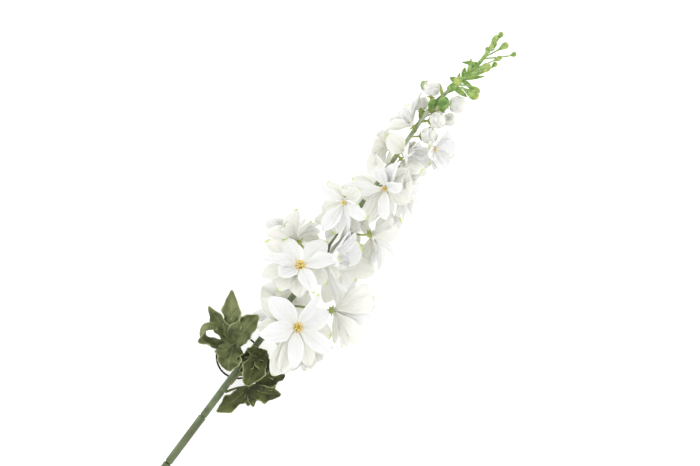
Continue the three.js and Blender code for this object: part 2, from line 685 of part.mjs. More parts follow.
// A leaf: lobes that fan out from the hub, and a petiole that reaches to the stalk.
function leafSolid(leaf, seed, grow = 0) {
  const hub = { at: vector(leaf.hub), axes: axesOf(leaf.face) };
  const lobes = leaf.lobes.map(([turn, length, width, rootAngle, tipAngle, fold = 0.3, lean = 0], k) => {
    const draw = (n) => vary(seed, k * 7 + n) * 2 - 1;
    const [from, to] = [radians(rootAngle), radians(tipAngle)];
    const share = (s) => {
      const after = lobeOutline.findIndex(([station]) => station >= s);
      if (after === 0) return lobeOutline[0][1];
      if (after < 0) return lobeOutline[lobeOutline.length - 1][1];
      const [a, b] = [lobeOutline[after - 1], lobeOutline[after]];
      return THREE.MathUtils.lerp(a[1], b[1], (s - a[0]) / (b[0] - a[0]));
    };
    const surface = bladeSurface(hub, {
      turn: radians(turn),
      length,
      rootRadius: -1.5,
      rootHeight: 0,
      angleAt: (s) => from + (to - from) * s * s,
      halfWidthAt: (s) => (width / 2) * share(s),
      cup: fold + 0.14 * draw(1),
      twist: 0.25 * draw(2),
      sway: 0.05 * draw(3),
      lean: radians(lean),
    });
    return bladeSolid(surface, lobeOutline.map(([station]) => station), grow);
  });
  const end = hub.at.clone().addScaledVector(hub.axes.up, -0.3);
  const root = vector(leaf.root);
  const middle = root.clone().lerp(end, 0.5).add(new THREE.Vector3(2.5, 0, 0));
  const petiole = taperedBar(
    [root, middle, end].map((p) => [...p.toArray(), 1.15]),
    5,
    4,
    grow,
  );
  return wasm.Manifold.union([petiole, ...lobes]);
}

// A round bar along the stem's axis.
const rod = (radius, from, to, sides) =>
  solidOf(
    new THREE.CylinderGeometry(radius, radius, to - from, sides)
      .rotateZ(-Math.PI / 2)
      .translate((from + to) / 2, 0, 0),
  );

// A section of the jointed stem: a tube with a socket at its upper end and, on all but the lowest,
// a spigot at its lower end.
function stemSection(from, to, hasSpigot) {
  const foot = hasSpigot ? from - spigotLength : from;
  const lower = hasSpigot
    ? [
        [spigotRadius, foot],
        [spigotRadius, from],
        [bodyRadius - 0.2, from + 0.2],
        [bodyRadius, from + 1.5],
      ]
    : [[bodyRadius, foot]];
  const mouth = to - neckGap;
  const socketFloor = to - spigotLength - clearance;
  const upper = [
    [bodyRadius, mouth - 4],
    [bodyRadius + 0.2, mouth],
    [socketRadius, mouth],
    [socketRadius, socketFloor],
    [wireBore, socketFloor],
  ];
  const profile = [[wireBore, foot], ...lower, ...upper, [wireBore, foot]];
  return solidOf(
    new THREE.LatheGeometry(
      profile.map(([r, x]) => new THREE.Vector2(r, x)),
      10,
    ).rotateZ(-Math.PI / 2),
  );
}

// The stalk, moulded in one with its pedicels, calyces, closed buds and bracts.
function stalkSolid(grow = 0) {
  const trunk = taperedBar(stalkLine, 8, 10, grow);
  const spigot = rod(spigotRadius, jointStations[3] - spigotLength, jointStations[3] + 1, 12);
  const held = [
    ...flowers.map((f) => [f.at, f.face, Math.min(1, 0.55 + f.reach / 70)]),
    ...whiteBuds.map((b) => [b.at, b.face, 0.8]),
    ...stalkBuds.map(([at, face]) => [at, face, 0.7]),
  ];
  return wasm.Manifold.union([
    trunk,
    spigot,
    ...held.map(([at, face, size]) => pedicelSolid(at, face, size, grow)),
    ...held.map(([at, face, size]) => calyxSolid(at, face, size, grow)),
    ...stalkBuds.map(([at, face, radius, length]) => {
      const sunk = vector(at).addScaledVector(vector(face).normalize(), -0.8).toArray();
      return clubSolid(sunk, face, radius, length, grow);
    }),
    ...stalkBracts.map((bract) => bractSolid(bract, grow)),
  ]);
}

// The light green tip of the spray, with its small buds on short stalks.
function tipSolid(grow = 0) {
  const curve = new THREE.CatmullRomCurve3(tipLine.map(vector));
  const pieces = [taperedBar(tipLine, 6, 6, grow)];
  for (const [foot, at, face, radius, length] of tipBuds) {
    const start = curve.getPoint(foot);
    const up = vector(face).normalize();
    const end = vector(at).addScaledVector(up, 0.15 * length);
    const middle = start.clone().lerp(vector(at), 0.55).addScaledVector(up, -0.8);
    pieces.push(taperedBar([start, middle, end].map((p) => [...p.toArray(), 0.75]), 3, 2, grow));
    pieces.push(clubSolid(at, face, radius, length, grow));
  }
  return wasm.Manifold.union([...pieces, ...bracts.map((bract) => bractSolid(bract, grow))]);
}

// True when every edge of a solid, laid on the table, still joins exactly two faces once its corners
// are rounded.
function isClosed(solid) {
  const geometry = geometryOf(solid).deleteAttribute("normal").applyMatrix4(spray.matrixWorld);
  const index = mergeVertices(geometry, 1e-3).index.array;
  const edges = new Set();
  for (let i = 0; i < index.length; i++) {
    const from = index[i];
    const to = index[i % 3 === 2 ? i - 2 : i + 1];
    const key = `${from} ${to}`;
    if (from === to || edges.has(key)) return false;
    edges.add(key);
  }
  return [...edges].every((key) => edges.has(key.split(" ").reverse().join(" ")));
}

// The largest body of a solid that may have fallen apart, with its nearly equal corners merged.
function largestOf(solid) {
  const biggest = (bodies) => bodies.reduce((best, one) => (one.volume() > best.volume() ? one : best));
  const body = biggest(solid.decompose());
  for (const tolerance of [1, 1.25, 0.8, 1.5, 0.5, 0.3]) {
    for (const weld of [0.02, 0.03, 0.01, 0.05, 0.004, 0.07, 0.001]) {
      const smooth = solidOf(geometryOf(body), weld).simplify(tolerance * seamTolerance);
      const tidy = biggest(smooth.decompose());
      if (isClosed(tidy)) return tidy;
    }
  }
  return body;
}

const spray = new THREE.Group();
spray.rotation.y = -stemLean;
spray.position.set((-sprayLength / 2) * Math.cos(stemLean), sideShift, footHeight);
spray.updateMatrixWorld();

const placed = []; // solids so far, each with the fatter copy that cuts its neighbours clear

// Adds a piece, cut clear of every piece before it. Its own origin is `at`.
function add(name, solid, material, fat, at = [0, 0, 0]) {
  const box = solid.boundingBox();
  const near = placed.filter(({ box: other }) =>
    [0, 1, 2].every((k) => other.min[k] < box.max[k] && other.max[k] > box.min[k]),
  );
  const cut = near.reduce((rest, other) => rest.subtract(other.fat), solid);
  placed.push({ fat, box: fat.boundingBox() });
  const geometry = geometryOf(largestOf(cut)).translate(-at[0], -at[1], -at[2]);
  const mesh = new THREE.Mesh(geometry, material.clone());
  mesh.name = name;
  mesh.position.set(...at);
  spray.add(mesh);
}

add("stem_wire", rod(wireRadius, 0, wireLength, 10), wireGrey, rod(wireBore, -1, wireLength + 0.5, 10));
for (let k = 0; k < 3; k++) {
  const section = stemSection(jointStations[k], jointStations[k + 1], k > 0);
  add(`stem_section_${k + 1}`, section, stemGreen, section, [jointStations[k], 0, 0]);
}
add("stalk", stalkSolid(), stalkGreen, stalkSolid(cutClearance), [jointStations[3], 0, 0]);
add("tip_spray", tipSolid(), budGreen, tipSolid(cutClearance), tipLine[0].slice(0, 3));
for (const flower of flowers) {
  const name = flower.name.replace("bloom", "stamens");
  add(name, eyeSolid(flower), eyeYellow, eyeSolid(flower, cutClearance), flower.at);
}
for (const bud of whiteBuds) {
  add(bud.name, whiteBudSolid(bud), petalWhite, whiteBudSolid(bud, cutClearance), bud.at);
}
flowers.forEach((flower, k) => {
  const [petals, fat] = [0, cutClearance].map((grow) => flowerSolid(flower, k + 1, grow));
  add(flower.name, petals, petalWhite, fat, flower.at);
});
leaves.forEach((leaf, k) => {
  const [blades, fat] = [0, cutClearance].map((grow) => leafSolid(leaf, 60 + k, grow));
  add(leaf.name, blades, leafGreen, fat, leaf.hub);
});
const loop = solidOf(new THREE.TorusGeometry(loopRadius, loopCord, 5, 20).translate(...loopCentre));
add("tag_loop", loop, cordBlack, loop, loopCentre);

export default spray;
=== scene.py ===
# Looks of the delphinium spray: fabric flowers and moulded green plastic, lying on a pale table.
# Shapes are worked out in millimetres in the stem's own frame (x from the cut end, z up from the stem's
# middle) and laid on the table in metres at the end.
import math

import bpy
import numpy as np
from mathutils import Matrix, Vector


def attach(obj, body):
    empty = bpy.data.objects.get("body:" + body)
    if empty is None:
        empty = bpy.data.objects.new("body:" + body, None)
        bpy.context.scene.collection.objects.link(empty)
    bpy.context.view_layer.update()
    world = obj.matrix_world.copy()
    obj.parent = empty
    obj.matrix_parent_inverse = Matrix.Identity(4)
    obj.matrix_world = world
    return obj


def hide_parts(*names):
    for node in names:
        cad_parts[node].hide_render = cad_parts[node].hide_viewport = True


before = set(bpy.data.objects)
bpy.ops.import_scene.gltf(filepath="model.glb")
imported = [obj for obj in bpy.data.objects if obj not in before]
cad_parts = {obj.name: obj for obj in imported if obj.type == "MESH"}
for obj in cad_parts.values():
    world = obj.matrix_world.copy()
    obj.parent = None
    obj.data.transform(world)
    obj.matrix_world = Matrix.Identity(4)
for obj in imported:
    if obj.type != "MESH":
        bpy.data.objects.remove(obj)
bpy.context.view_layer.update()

spray = {
    "length": 600,
    "leanDegrees": 6.6,  # the stem rises this much from its cut end
    "bodyRadius": 3.45,  # of the lower stem
    "sideShift": 7.1,  # brings the middle of the spray's box over the origin
    "joints": [0, 63, 125, 176],  # where the sleeves of the lower stem begin and end
    "restHeight": 0.75,  # the middle of a thin blade can't come nearer to the table than this
    "softness": 4,  # height over which a blade bends to lie on the table
}
lean = math.radians(spray["leanDegrees"])
footHeight = spray["bodyRadius"] * math.cos(lean)
tableNormal = np.array([math.sin(lean), 0, math.cos(lean)])


# Camera: straight above, turned so that the stem runs up to the right, as in the photograph
camera = {
    "distance": 6.0,
    "frameWidth": 0.605,  # metres of table across the picture
    "middle": (0.0801, 0.0004, 0.045),
    "turnDegrees": -53.13,
    "sensor": 36,  # mm
    "farthest": 60,  # metres at which it stops seeing
}
lens = bpy.data.cameras.new("camera")
lens.sensor_width = camera["sensor"]
lens.lens = camera["sensor"] * camera["distance"] / camera["frameWidth"]
lens.clip_end = camera["farthest"]
cameraObject = bpy.data.objects.new("camera", lens)
cameraObject.location = np.array(camera["middle"]) + [0, 0, camera["distance"]]
cameraObject.rotation_euler = (0, 0, math.radians(camera["turnDegrees"]))
bpy.context.scene.collection.objects.link(cameraObject)
bpy.context.scene.camera = cameraObject
bpy.context.scene.view_settings.view_transform = "Standard"
print("camera ready")


# Small sums that the shapes share

def unit(v):
    v = np.asarray(v, float)
    return v / np.maximum(np.linalg.norm(v, axis=-1, keepdims=True), 1e-9)


def vary(seed, item):  # a repeatable number from 0 to 1, the same as in the part's source
    v = np.sin(seed * 12.9898 + item * 78.233) * 43758.5453
    return v - np.floor(v)


def ease(x, low, high):  # 0 below low, 1 above high, smooth between
    x = np.clip((x - low) / (high - low), 0, 1)
    return x * x * (3 - 2 * x)


def axesOf(face):  # up along the face, first towards the spray's tip, second across both
    up = unit(face)
    towards = np.array([0, 0, 1.0]) if abs(up[0]) > 0.95 else np.array([1.0, 0, 0])
    first = unit(towards - up * (towards @ up))
    return up, first, np.cross(up, first)


def outwards(first, second, turn):  # the direction at a turn from first towards second
    return first * np.cos(turn)[..., None] + second * np.sin(turn)[..., None]


def layOnTable(p):  # a point that would sink into the table comes to lie on it, by an exponential bend
    soft = spray["softness"]
    height = p @ tableNormal + footHeight - spray["restHeight"]
    bent = np.where(height < soft, soft * np.exp(np.minimum(height, soft) / soft - 1), height)
    return p + (bent - height)[..., None] * tableNormal


def smoothLine(points, count):
    # a curve through the points, read at evenly spaced places: each span is the cubic whose slopes at
    # its ends are half of the way between their neighbours
    p = np.asarray(points, float)
    p = np.vstack([2 * p[0] - p[1], p, 2 * p[-1] - p[-2]])
    place = np.linspace(0, len(p) - 3, count)
    i = np.minimum(place.astype(int), len(p) - 4)
    u = (place - i)[:, None]
    a, b, c, d = p[i], p[i + 1], p[i + 2], p[i + 3]
    return 0.5 * (2 * b + (c - a) * u + (2 * a - 5 * b + 4 * c - d) * u**2 + (3 * b - a - 3 * c + d) * u**3)


# Shells: closed skins gathered from grids of points, then made into one mesh

def newShell():
    return {"points": [], "quads": [], "triangles": [], "uv": [], "tint": [], "count": 0}


def addSkin(shell, rings, uv, tint, poles=None, closed=False):
    # rings is a grid of points, row by row along the piece, whose columns run once round it. Its ends
    # are closed on two poles, or the last row joins the first. The volume under its faces gives the
    # sign by which they are turned outwards.
    rows, columns = rings.shape[:2]
    corner = np.arange(rows * columns).reshape(rows, columns)
    beside = np.roll(corner, -1, 1)
    quads = np.stack([corner[:-1], beside[:-1], beside[1:], corner[1:]], -1).reshape(-1, 4)
    points = rings.reshape(-1, 3)
    uv = np.broadcast_to(uv, (rows, columns, 2)).reshape(-1, 2)
    tint = np.broadcast_to(tint, (rows, columns)).reshape(-1)
    triangles = np.zeros((0, 3), int)
    if closed:
        last = np.stack([corner[-1], beside[-1], beside[0], corner[0]], -1)
        quads = np.vstack([quads, last])
    else:
        ends = [rings[0].mean(0), rings[-1].mean(0)] if poles is None else list(poles)
        foot, tip = len(points), len(points) + 1
        triangles = np.vstack([
            np.stack([np.full(columns, foot), beside[0], corner[0]], -1),
            np.stack([np.full(columns, tip), corner[-1], beside[-1]], -1),
        ])
        points = np.vstack([points, ends])
        uv = np.vstack([uv, uv[:columns].mean(0), uv[-columns:].mean(0)])
        tint = np.append(tint, [tint[:columns].mean(), tint[-columns:].mean()])
    middle = points.mean(0)
    halves = np.vstack([quads[:, [0, 1, 2]], quads[:, [0, 2, 3]], triangles])
    a, b, c = (points[halves[:, k]] - middle for k in range(3))
    if np.einsum("ij,ij->i", a, np.cross(b, c)).sum() < 0:
        quads, triangles = quads[:, ::-1], triangles[:, ::-1]
    shell["points"].append(points)
    shell["quads"].append(quads + shell["count"])
    shell["triangles"].append(triangles + shell["count"])
    shell["uv"].append(uv)
    shell["tint"].append(tint)
    shell["count"] += len(points)


def makePiece(name, shell, material, nodes):
    # lays the shell on the table, turned by the stem's lean, and makes it a piece in place of its nodes
    p = np.vstack(shell["points"])
    x = p[:, 0] * math.cos(lean) - p[:, 2] * math.sin(lean) - spray["length"] / 2 * math.cos(lean)
    z = p[:, 0] * math.sin(lean) + p[:, 2] * math.cos(lean) + footHeight
    placed = np.stack([x, p[:, 1] + spray["sideShift"], z], -1) / 1000
    quads, triangles = np.vstack(shell["quads"]), np.vstack(shell["triangles"])
    corners = np.concatenate([quads.ravel(), triangles.ravel()])
    starts = np.concatenate([np.arange(len(quads)) * 4, len(quads) * 4 + np.arange(len(triangles)) * 3])
    mesh = bpy.data.meshes.new(name)
    mesh.vertices.add(len(placed))
    mesh.vertices.foreach_set("co", placed.astype(np.float32).ravel())
    mesh.loops.add(len(corners))
    mesh.loops.foreach_set("vertex_index", corners.astype(np.int32))
    mesh.polygons.add(len(starts))
    mesh.polygons.foreach_set("loop_start", starts.astype(np.int32))
    mesh.update(calc_edges=True)
    mesh.polygons.foreach_set("use_smooth", np.ones(len(starts), bool))
    uv = np.vstack(shell["uv"])[corners]
    mesh.uv_layers.new(name="blade").data.foreach_set("uv", uv.astype(np.float32).ravel())
    tint = np.concatenate(shell["tint"]).astype(np.float32)
    mesh.attributes.new("tint", "FLOAT", "POINT").data.foreach_set("value", tint)
    mesh.materials.append(material)
    piece = bpy.data.objects.new(name, mesh)
    bpy.context.scene.collection.objects.link(piece)
    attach(piece, "root")
    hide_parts(*nodes)


def addRings(shell, middles, radii, side, up, sides, tint, relief, poles=None):
    # circles of the given radii round the middles, in the plane of side and up. The relief multiplies
    # the radius, by the share of the way along and the turn. With poles to end on it lies on the table.
    turn = np.arange(sides) / sides * 2 * math.pi
    share = np.linspace(0, 1, len(radii))
    radius = np.broadcast_to(radii[:, None], (len(radii), sides)).copy()
    if relief is not None:
        radius *= relief(share[:, None], turn[None, :])
    rings = middles[:, None] + outwards(side, up, turn) * radius[..., None]
    if poles is not None:
        rings, poles = layOnTable(rings), layOnTable(poles)
    uv = np.stack(np.broadcast_arrays(share[:, None], turn[None, :] / 6.3), -1)
    tint = np.broadcast_to(np.asarray(tint, float).reshape(-1, 1), (len(radii), sides))
    addSkin(shell, rings, uv, tint, poles=poles)


def addBar(shell, line, radii, sides, tint=0.0, relief=None):
    # a round bar: circles square to the line at each of its points. Their first direction is square to
    # one fixed vector too, which keeps them from turning.
    line, radii = np.asarray(line, float), np.asarray(radii, float)
    along = unit(np.gradient(line, axis=0))
    steady = np.array([0.13, 0.31, 0.94]) if abs(along[:, 2]).max() < 0.9 else np.array([0.1, 0.97, 0.2])
    side = unit(np.cross(along, steady))
    up = np.cross(side, along)
    addRings(shell, line, radii, side[:, None], up[:, None], sides, tint, relief)


def addTurned(shell, at, face, heights, radii, sides, tint=0.0, relief=None):
    # a turned piece: a circle at each height on an axis, laid on the table
    up, first, second = axesOf(face)
    heights, radii = np.asarray(heights, float), np.asarray(radii, float)
    middles = np.asarray(at, float) + up * heights[:, None]
    addRings(shell, middles, radii, first, second, sides, tint, relief, middles[[0, -1]])


def addBlade(shell, sheet, rows, columns, thickness, tint, tipShare=0.03):
    # a thin blade: the sheet's points moved along their normals to both sides by half the thickness,
    # which falls to nothing at the rim. Columns are spaced by a cosine, so that they crowd at the rim.
    # The rows end a share of the length before the tip, which is one point. The tint is one number or
    # depends on s and t.
    s = np.linspace(0, 1 - tipShare, rows)
    t = -np.cos(np.linspace(0, math.pi, columns + 1))
    grid = sheet(s[:, None], t[None, :])
    alongRib = np.gradient(grid, axis=0)
    across = np.gradient(grid, axis=1)
    normal = unit(np.cross(alongRib, across))
    half = thickness / 2 * (1 - np.abs(t) ** 8) ** 0.125 * np.ones((rows, 1))
    half[:, [0, -1]] = 0
    above, below = grid + normal * half[..., None], grid - normal * half[..., None]
    rings = np.concatenate([above, below[:, -2:0:-1]], 1)
    uv = np.stack(np.broadcast_arrays(s[:, None], t[None, :] * 0.5 + 0.5), -1)
    uv = np.concatenate([uv, uv[:, -2:0:-1]], 1)
    shade = tint(s[:, None], t[None, :]) if callable(tint) else float(tint)
    shade = np.broadcast_to(shade, (rows, columns + 1))
    shade = np.concatenate([shade, shade[:, -2:0:-1]], 1)
    tip = sheet(np.array([[1.0]]), np.array([[0.0]]))[0, 0]
    addSkin(shell, rings, uv, shade, poles=[grid[0].mean(0), tip])


def bladeSheet(hub, axes, turn, length, root, angleAt, halfWidthAt, cup, twist, sway, relief, lean=0):
    # the middle surface of a blade that grows from a hub, from the root's distance and height on its
    # axis. Its rib is an angle from the hub's axis, summed up along its length. Across the rib the blade
    # is a trough, half width times t, lifted by cup times half width times t squared, turned by twist
    # and bent sideways by sway times s squared. All of it may lean to one side about the direction that
    # it grows in.
    up, first, second = axes
    steps = 48
    angles = angleAt((np.arange(steps) + 0.5) / steps)
    step = length / steps
    ribOut = root[0] + np.concatenate([[0], np.cumsum(np.sin(angles))]) * step
    ribUp = root[1] + np.concatenate([[0], np.cumsum(np.cos(angles))]) * step
    places = np.linspace(0, 1, steps + 1)
    outward = first * math.cos(turn) + second * math.sin(turn)
    up = up * math.cos(lean) + np.cross(outward, up) * math.sin(lean)
    across = np.cross(up, outward)

    def sheet(s, t):
        s, t = np.broadcast_arrays(s, t)
        angle = angleAt(s)[..., None]
        inward = up * np.sin(angle) - outward * np.cos(angle)
        turned = (twist * s)[..., None]
        side = across * np.cos(turned) + inward * np.sin(turned)
        lift = inward * np.cos(turned) - across * np.sin(turned)
        half = halfWidthAt(s)
        raised = cup * half * t * t + relief(s, t, half)
        point = hub + outward * np.interp(s, places, ribOut)[..., None]
        point = point + up * np.interp(s, places, ribUp)[..., None]
        point = point + side * (half * t + sway * length * s * s)[..., None]
        return layOnTable(point + lift * raised[..., None])

    return sheet


# Materials

def srgb(code):  # an sRGB hex value as linear light
    v = np.array([int(code[k:k + 2], 16) for k in (1, 3, 5)]) / 255
    return (*np.where(v <= 0.04045, v / 12.92, ((v + 0.055) / 1.055) ** 2.4), 1)


def addNode(kind, inputs, output=0, tree=None, **settings):
    # one node with its settings, its input values, and links where an input is another node's socket.
    # A text is a colour's hex value. The tree is that of the sockets, or is given where there are none.
    # It gives back one output.
    sockets = {key: value for key, value in inputs.items() if isinstance(value, bpy.types.NodeSocket)}
    for value in sockets.values():
        tree = value.id_data
    node = tree.nodes.new("ShaderNode" + kind)
    for key, value in settings.items():
        setattr(node, key, value)
    for key, value in inputs.items():
        if key in sockets:
            tree.links.new(value, node.inputs[key])
        else:
            node.inputs[key].default_value = srgb(value) if isinstance(value, str) else value
    return node.outputs[output]


def tinge(body, colour, value, low=None, high=None, most=1.0):
    # lays a colour over the body: not at all where the value is up to low, by the share called most
    # from high on, softly between. Without low and high the value times most is the share.
    if low is None:
        share = addNode("Math", {0: value, 1: most}, operation="MULTIPLY")
    else:
        share = addNode("MapRange", {0: value, 1: low, 2: high, 3: 0.0, 4: most},
                        interpolation_type="SMOOTHSTEP")
    return addNode("Mix", {0: share, 6: body, 7: colour}, 2, data_type="RGBA")


def onBlade(blade):  # share of the way along the blade, and distance from its rib, 0.5 at the rim
    along = addNode("SeparateXYZ", {0: blade})
    fromMiddle = addNode("Math", {0: along.node.outputs[1], 1: 0.5}, operation="SUBTRACT")
    return along, addNode("Math", {0: fromMiddle}, operation="ABSOLUTE")


def makeMaterial(name, paint=None, **surface):
    # a material with these surface values. Its paint function is given the object coordinates in
    # metres, the blade's own map and the tint. It gives back the colour and the bumps, which are
    # heights, each with its strength and depth in metres.
    material = bpy.data.materials.new(name)
    material.use_nodes = True
    tree = material.node_tree
    shader = tree.nodes["Principled BSDF"]
    for key, value in surface.items():
        shader.inputs[key.replace("_", " ")].default_value = value
    if paint is None:
        return material
    here = addNode("TexCoord", {}, "Object", tree)
    blade = addNode("UVMap", {}, "UV", tree, uv_map="blade")
    tint = addNode("Attribute", {}, "Fac", tree, attribute_name="tint")
    colour, bumps = paint(here, blade, tint)
    tree.links.new(colour, shader.inputs["Base Color"])
    below = {}
    for height, strength, depth in bumps:
        bump = addNode("Bump", {"Height": height, "Strength": strength, "Distance": depth, **below})
        below = {"Normal": bump}
    tree.links.new(bump, shader.inputs["Normal"])
    return material


# White polyester satin, starched and pressed: matt white that glows where light comes through from behind,
# with a painted highlight along the cut rim, painted warm shade as cream at the foot, a cream in the outer
# whorl and in buds that is partly the fabric's tone and partly painted shade, lime at some points
def paintPetal(here, blade, tint):
    along, fromRib = onBlade(blade)
    cloud = addNode("TexNoise", {"Vector": here, "Scale": 90})
    body = tinge("#f4f4f1", "#f8f9f6", cloud)
    # cream in the outer whorl and the buds: partly the fabric's tone, partly painted warm shade
    body = tinge(body, "#f6f5ea", tint, 0.0, 0.4)
    # painted highlight: a whiter band along the cut rim, where it catches the light
    body = tinge(body, "#fdfdfb", fromRib, 0.455, 0.49)
    # painted shade: warm cream towards the foot, deep in the flower
    body = tinge(body, "#f0f1dc", along, 0.5, 0.02, 0.5)
    body = tinge(body, tinge("#b9dc72", "#d4eca0", cloud), tint, 0.45, 1.0)
    # pressed veins, about 0.8 mm apart
    fan = addNode("Mapping", {"Vector": blade, "Scale": (1.6, 22, 1)})
    veins = addNode("TexNoise", {"Vector": fan, "Scale": 1, "Detail": 3})
    # satin threads, 0.15 mm apart, drawn at 0.7 mm so that they show
    weave = addNode("TexNoise", {"Vector": here, "Scale": 1400, "Detail": 1})
    return body, [(veins, 0.6, 0.0005), (weave, 0.18, 0.00012)]


petalSatin = makeMaterial(
    "starchedPolyesterPetal", paintPetal, Roughness=0.78, IOR=1.45, Subsurface_Weight=0.5,
    Subsurface_Scale=0.0014, Subsurface_Radius=(1.0, 0.99, 0.92), Sheen_Weight=0.15,
    Sheen_Roughness=0.5)


# Foam and flocked wire ends: dull yellow beads with orange shadows over a green heart
def paintStamens(here, blade, tint):
    grain = addNode("TexNoise", {"Vector": here, "Scale": 900})
    bead = tinge("#f4c34c", "#fff0b0", grain, 0.35, 0.65)
    heart = tinge("#8b9440", "#c9cb70", grain, 0.35, 0.65)
    return tinge(bead, heart, tint), [(grain, 0.6, 0.0003)]


stamenFoam = makeMaterial("flockedStamenFoam", paintStamens, Roughness=0.8, IOR=1.45,
                          Subsurface_Weight=0.15, Subsurface_Scale=0.001)


# Moulded polyethylene of the stalk: waxy sage green, paler towards the tip, yellow-green at the calyces
def paintStalk(here, blade, tint):
    cloud = addNode("TexNoise", {"Vector": here, "Scale": 160, "Detail": 3})
    low = tinge("#515f3b", "#6e7c53", cloud, 0.3, 0.7)
    high = tinge("#73835a", "#9dab85", cloud, 0.3, 0.7)
    along = addNode("SeparateXYZ", {0: here})
    trunk = tinge(low, high, along, 0.0, 0.2)
    # towards the tip pale streaks run along the skin: painted highlights
    drawn = addNode("Mapping", {"Vector": here, "Scale": (0.16, 1, 1)})
    streaks = addNode("TexNoise", {"Vector": drawn, "Scale": 420})
    streakHighlit = tinge(trunk, "#cfd6c2", streaks, 0.42, 0.62, 0.75)
    trunk = tinge(trunk, streakHighlit, along, 0.08, 0.18)
    calyx = tinge("#8d9a46", "#bcc06c", cloud, 0.3, 0.7)
    fresh = tinge("#558034", "#99b862", cloud, 0.35, 0.65)
    body = tinge(tinge(trunk, calyx, tint, 0.0, 0.5), fresh, tint, 0.55, 1.0)
    grain = addNode("TexNoise", {"Vector": here, "Scale": 700})
    return body, [(grain, 0.25, 0.0003)]


stalkPlastic = makeMaterial("mouldedPolyethyleneStalk", paintStalk, Roughness=0.46, IOR=1.51,
                            Subsurface_Weight=0.08, Subsurface_Scale=0.001)


# The light green moulding at the tip: soft plastic with a grainy skin, with pale specks painted over it
# as glints of white light
def paintTip(here, blade, tint):
    cloud = addNode("TexNoise", {"Vector": here, "Scale": 240})
    grainAndGlints = addNode("TexNoise", {"Vector": here, "Scale": 1100})
    strand = tinge("#6a9335", "#a6c56b", cloud, 0.28, 0.72)
    head = tinge("#8ea63a", "#c0c65e", cloud, 0.28, 0.72)
    # painted highlight: pale specks over the grain, as glints of white light
    body = tinge(tinge(strand, head, tint), "#f2f8e0", grainAndGlints, 0.54, 0.72, 0.5)
    return body, [(grainAndGlints, 0.5, 0.0003)]


tipPlastic = makeMaterial("polyethyleneTipPaintedGlints", paintTip, Roughness=0.5, IOR=1.51,
                          Subsurface_Weight=0.12, Subsurface_Scale=0.001, Sheen_Weight=0.45,
                          Sheen_Roughness=0.35)


# Flocked polyester leaf: deep olive velvet, mottled, with a paler rim, partly worn flock and partly a
# painted highlight where the cut edge catches light, and pressed pale veins; two copies: the upper leaf is
# painted lighter, as lit, and the others darker, as shaded
def makeLeafVelvet(name, deep, mid, worn, rim):
    def paint(here, blade, tint):
        along, fromRib = onBlade(blade)
        cloud = addNode("TexNoise", {"Vector": here, "Scale": 110, "Detail": 4, "Roughness": 0.55})
        patches = addNode("TexNoise", {"Vector": here, "Scale": 48})
        body = tinge(tinge(deep, mid, cloud, 0.28, 0.72), worn, patches, 0.45, 0.75, 0.6)
        rib = addNode("MapRange", {0: fromRib, 1: 0.045, 2: 0.012}, interpolation_type="SMOOTHSTEP")
        # side veins leave the midrib every 5 mm or so and slant towards the point
        ahead = addNode("Math", {0: along, 1: 44}, operation="MULTIPLY")
        aside = addNode("Math", {0: fromRib, 1: 42}, operation="MULTIPLY")
        slant = addNode("Math", {0: ahead, 1: aside}, operation="SUBTRACT")
        wave = addNode("Math", {0: slant}, operation="SINE")
        vein = addNode("MapRange", {0: wave, 1: 0.86, 4: 0.45}, interpolation_type="SMOOTHSTEP")
        lines = addNode("Math", {0: rib, 1: vein}, operation="MAXIMUM")
        # the paler rim: partly worn flock, partly a painted highlight where the cut edge catches light
        body = tinge(tinge(body, worn, lines, most=0.4), rim, tint, most=0.85)
        crumples = addNode("TexNoise", {"Vector": here, "Scale": 260, "Detail": 3})
        # flock fibres, 0.03 mm wide, drawn at 0.8 mm so that they show
        flock = addNode("TexNoise", {"Vector": here, "Scale": 1300})
        return body, [(lines, -0.6, 0.0005), (crumples, 0.5, 0.0008), (flock, 0.3, 0.0002)]

    return makeMaterial(name, paint, Roughness=0.82, IOR=1.45, Sheen_Weight=0.2, Sheen_Roughness=0.4)


# painted light and shade: the same velvet in a lighter copy for the upper leaf and a darker one for the
# others
litPaintedLeafVelvet = makeLeafVelvet("polyesterLeafPaintedLit", "#3d4724", "#707a49", "#969d6b", "#b9bf8d")
shadePaintedLeafVelvet = makeLeafVelvet("polyesterLeafPaintedShade", "#262b11", "#4c5427", "#80874c", "#aab175")


# Moulded polyethylene sleeve of the lower stem: satin sage green, finely drawn out along its length
def paintStem(here, blade, tint):
    drawn = addNode("Mapping", {"Vector": here, "Scale": (0.12, 1, 1)})
    cloud = addNode("TexNoise", {"Vector": drawn, "Scale": 300, "Detail": 3})
    finer = addNode("Mapping", {"Vector": here, "Scale": (0.05, 1, 1)})
    streaks = addNode("TexNoise", {"Vector": finer, "Scale": 900})
    body = tinge(tinge("#505c38", "#6c7850", cloud, 0.3, 0.7), "#4a5538", tint)
    return body, [(streaks, 0.3, 0.0003)]


stemPlastic = makeMaterial("mouldedPolyethyleneStem", paintStem, Roughness=0.3, IOR=1.51)


# Galvanised steel wire, drawn: grey, streaked along its length
def paintWire(here, blade, tint):
    drawn = addNode("Mapping", {"Vector": here, "Scale": (0.08, 1, 1)})
    streaks = addNode("TexNoise", {"Vector": drawn, "Scale": 2200})
    return tinge("#8c8e8d", "#c3c5c4", streaks), [(streaks, 0.3, 0.0001)]


wireSteel = makeMaterial("drawnGalvanisedSteel", paintWire, Metallic=1.0, Roughness=0.38)


# Twisted black polyester cord: strands with a slight sheen
def paintCord(here, blade, tint):
    fibres = addNode("TexNoise", {"Vector": here, "Scale": 1800})
    return tinge("#060608", "#17171c", fibres), [(fibres, 0.4, 0.0002)]


cordBlack = makeMaterial("twistedPolyesterCord", paintCord, Roughness=0.6, IOR=1.45,
                         Sheen_Weight=0.2, Sheen_Roughness=0.4)
print("materials ready")


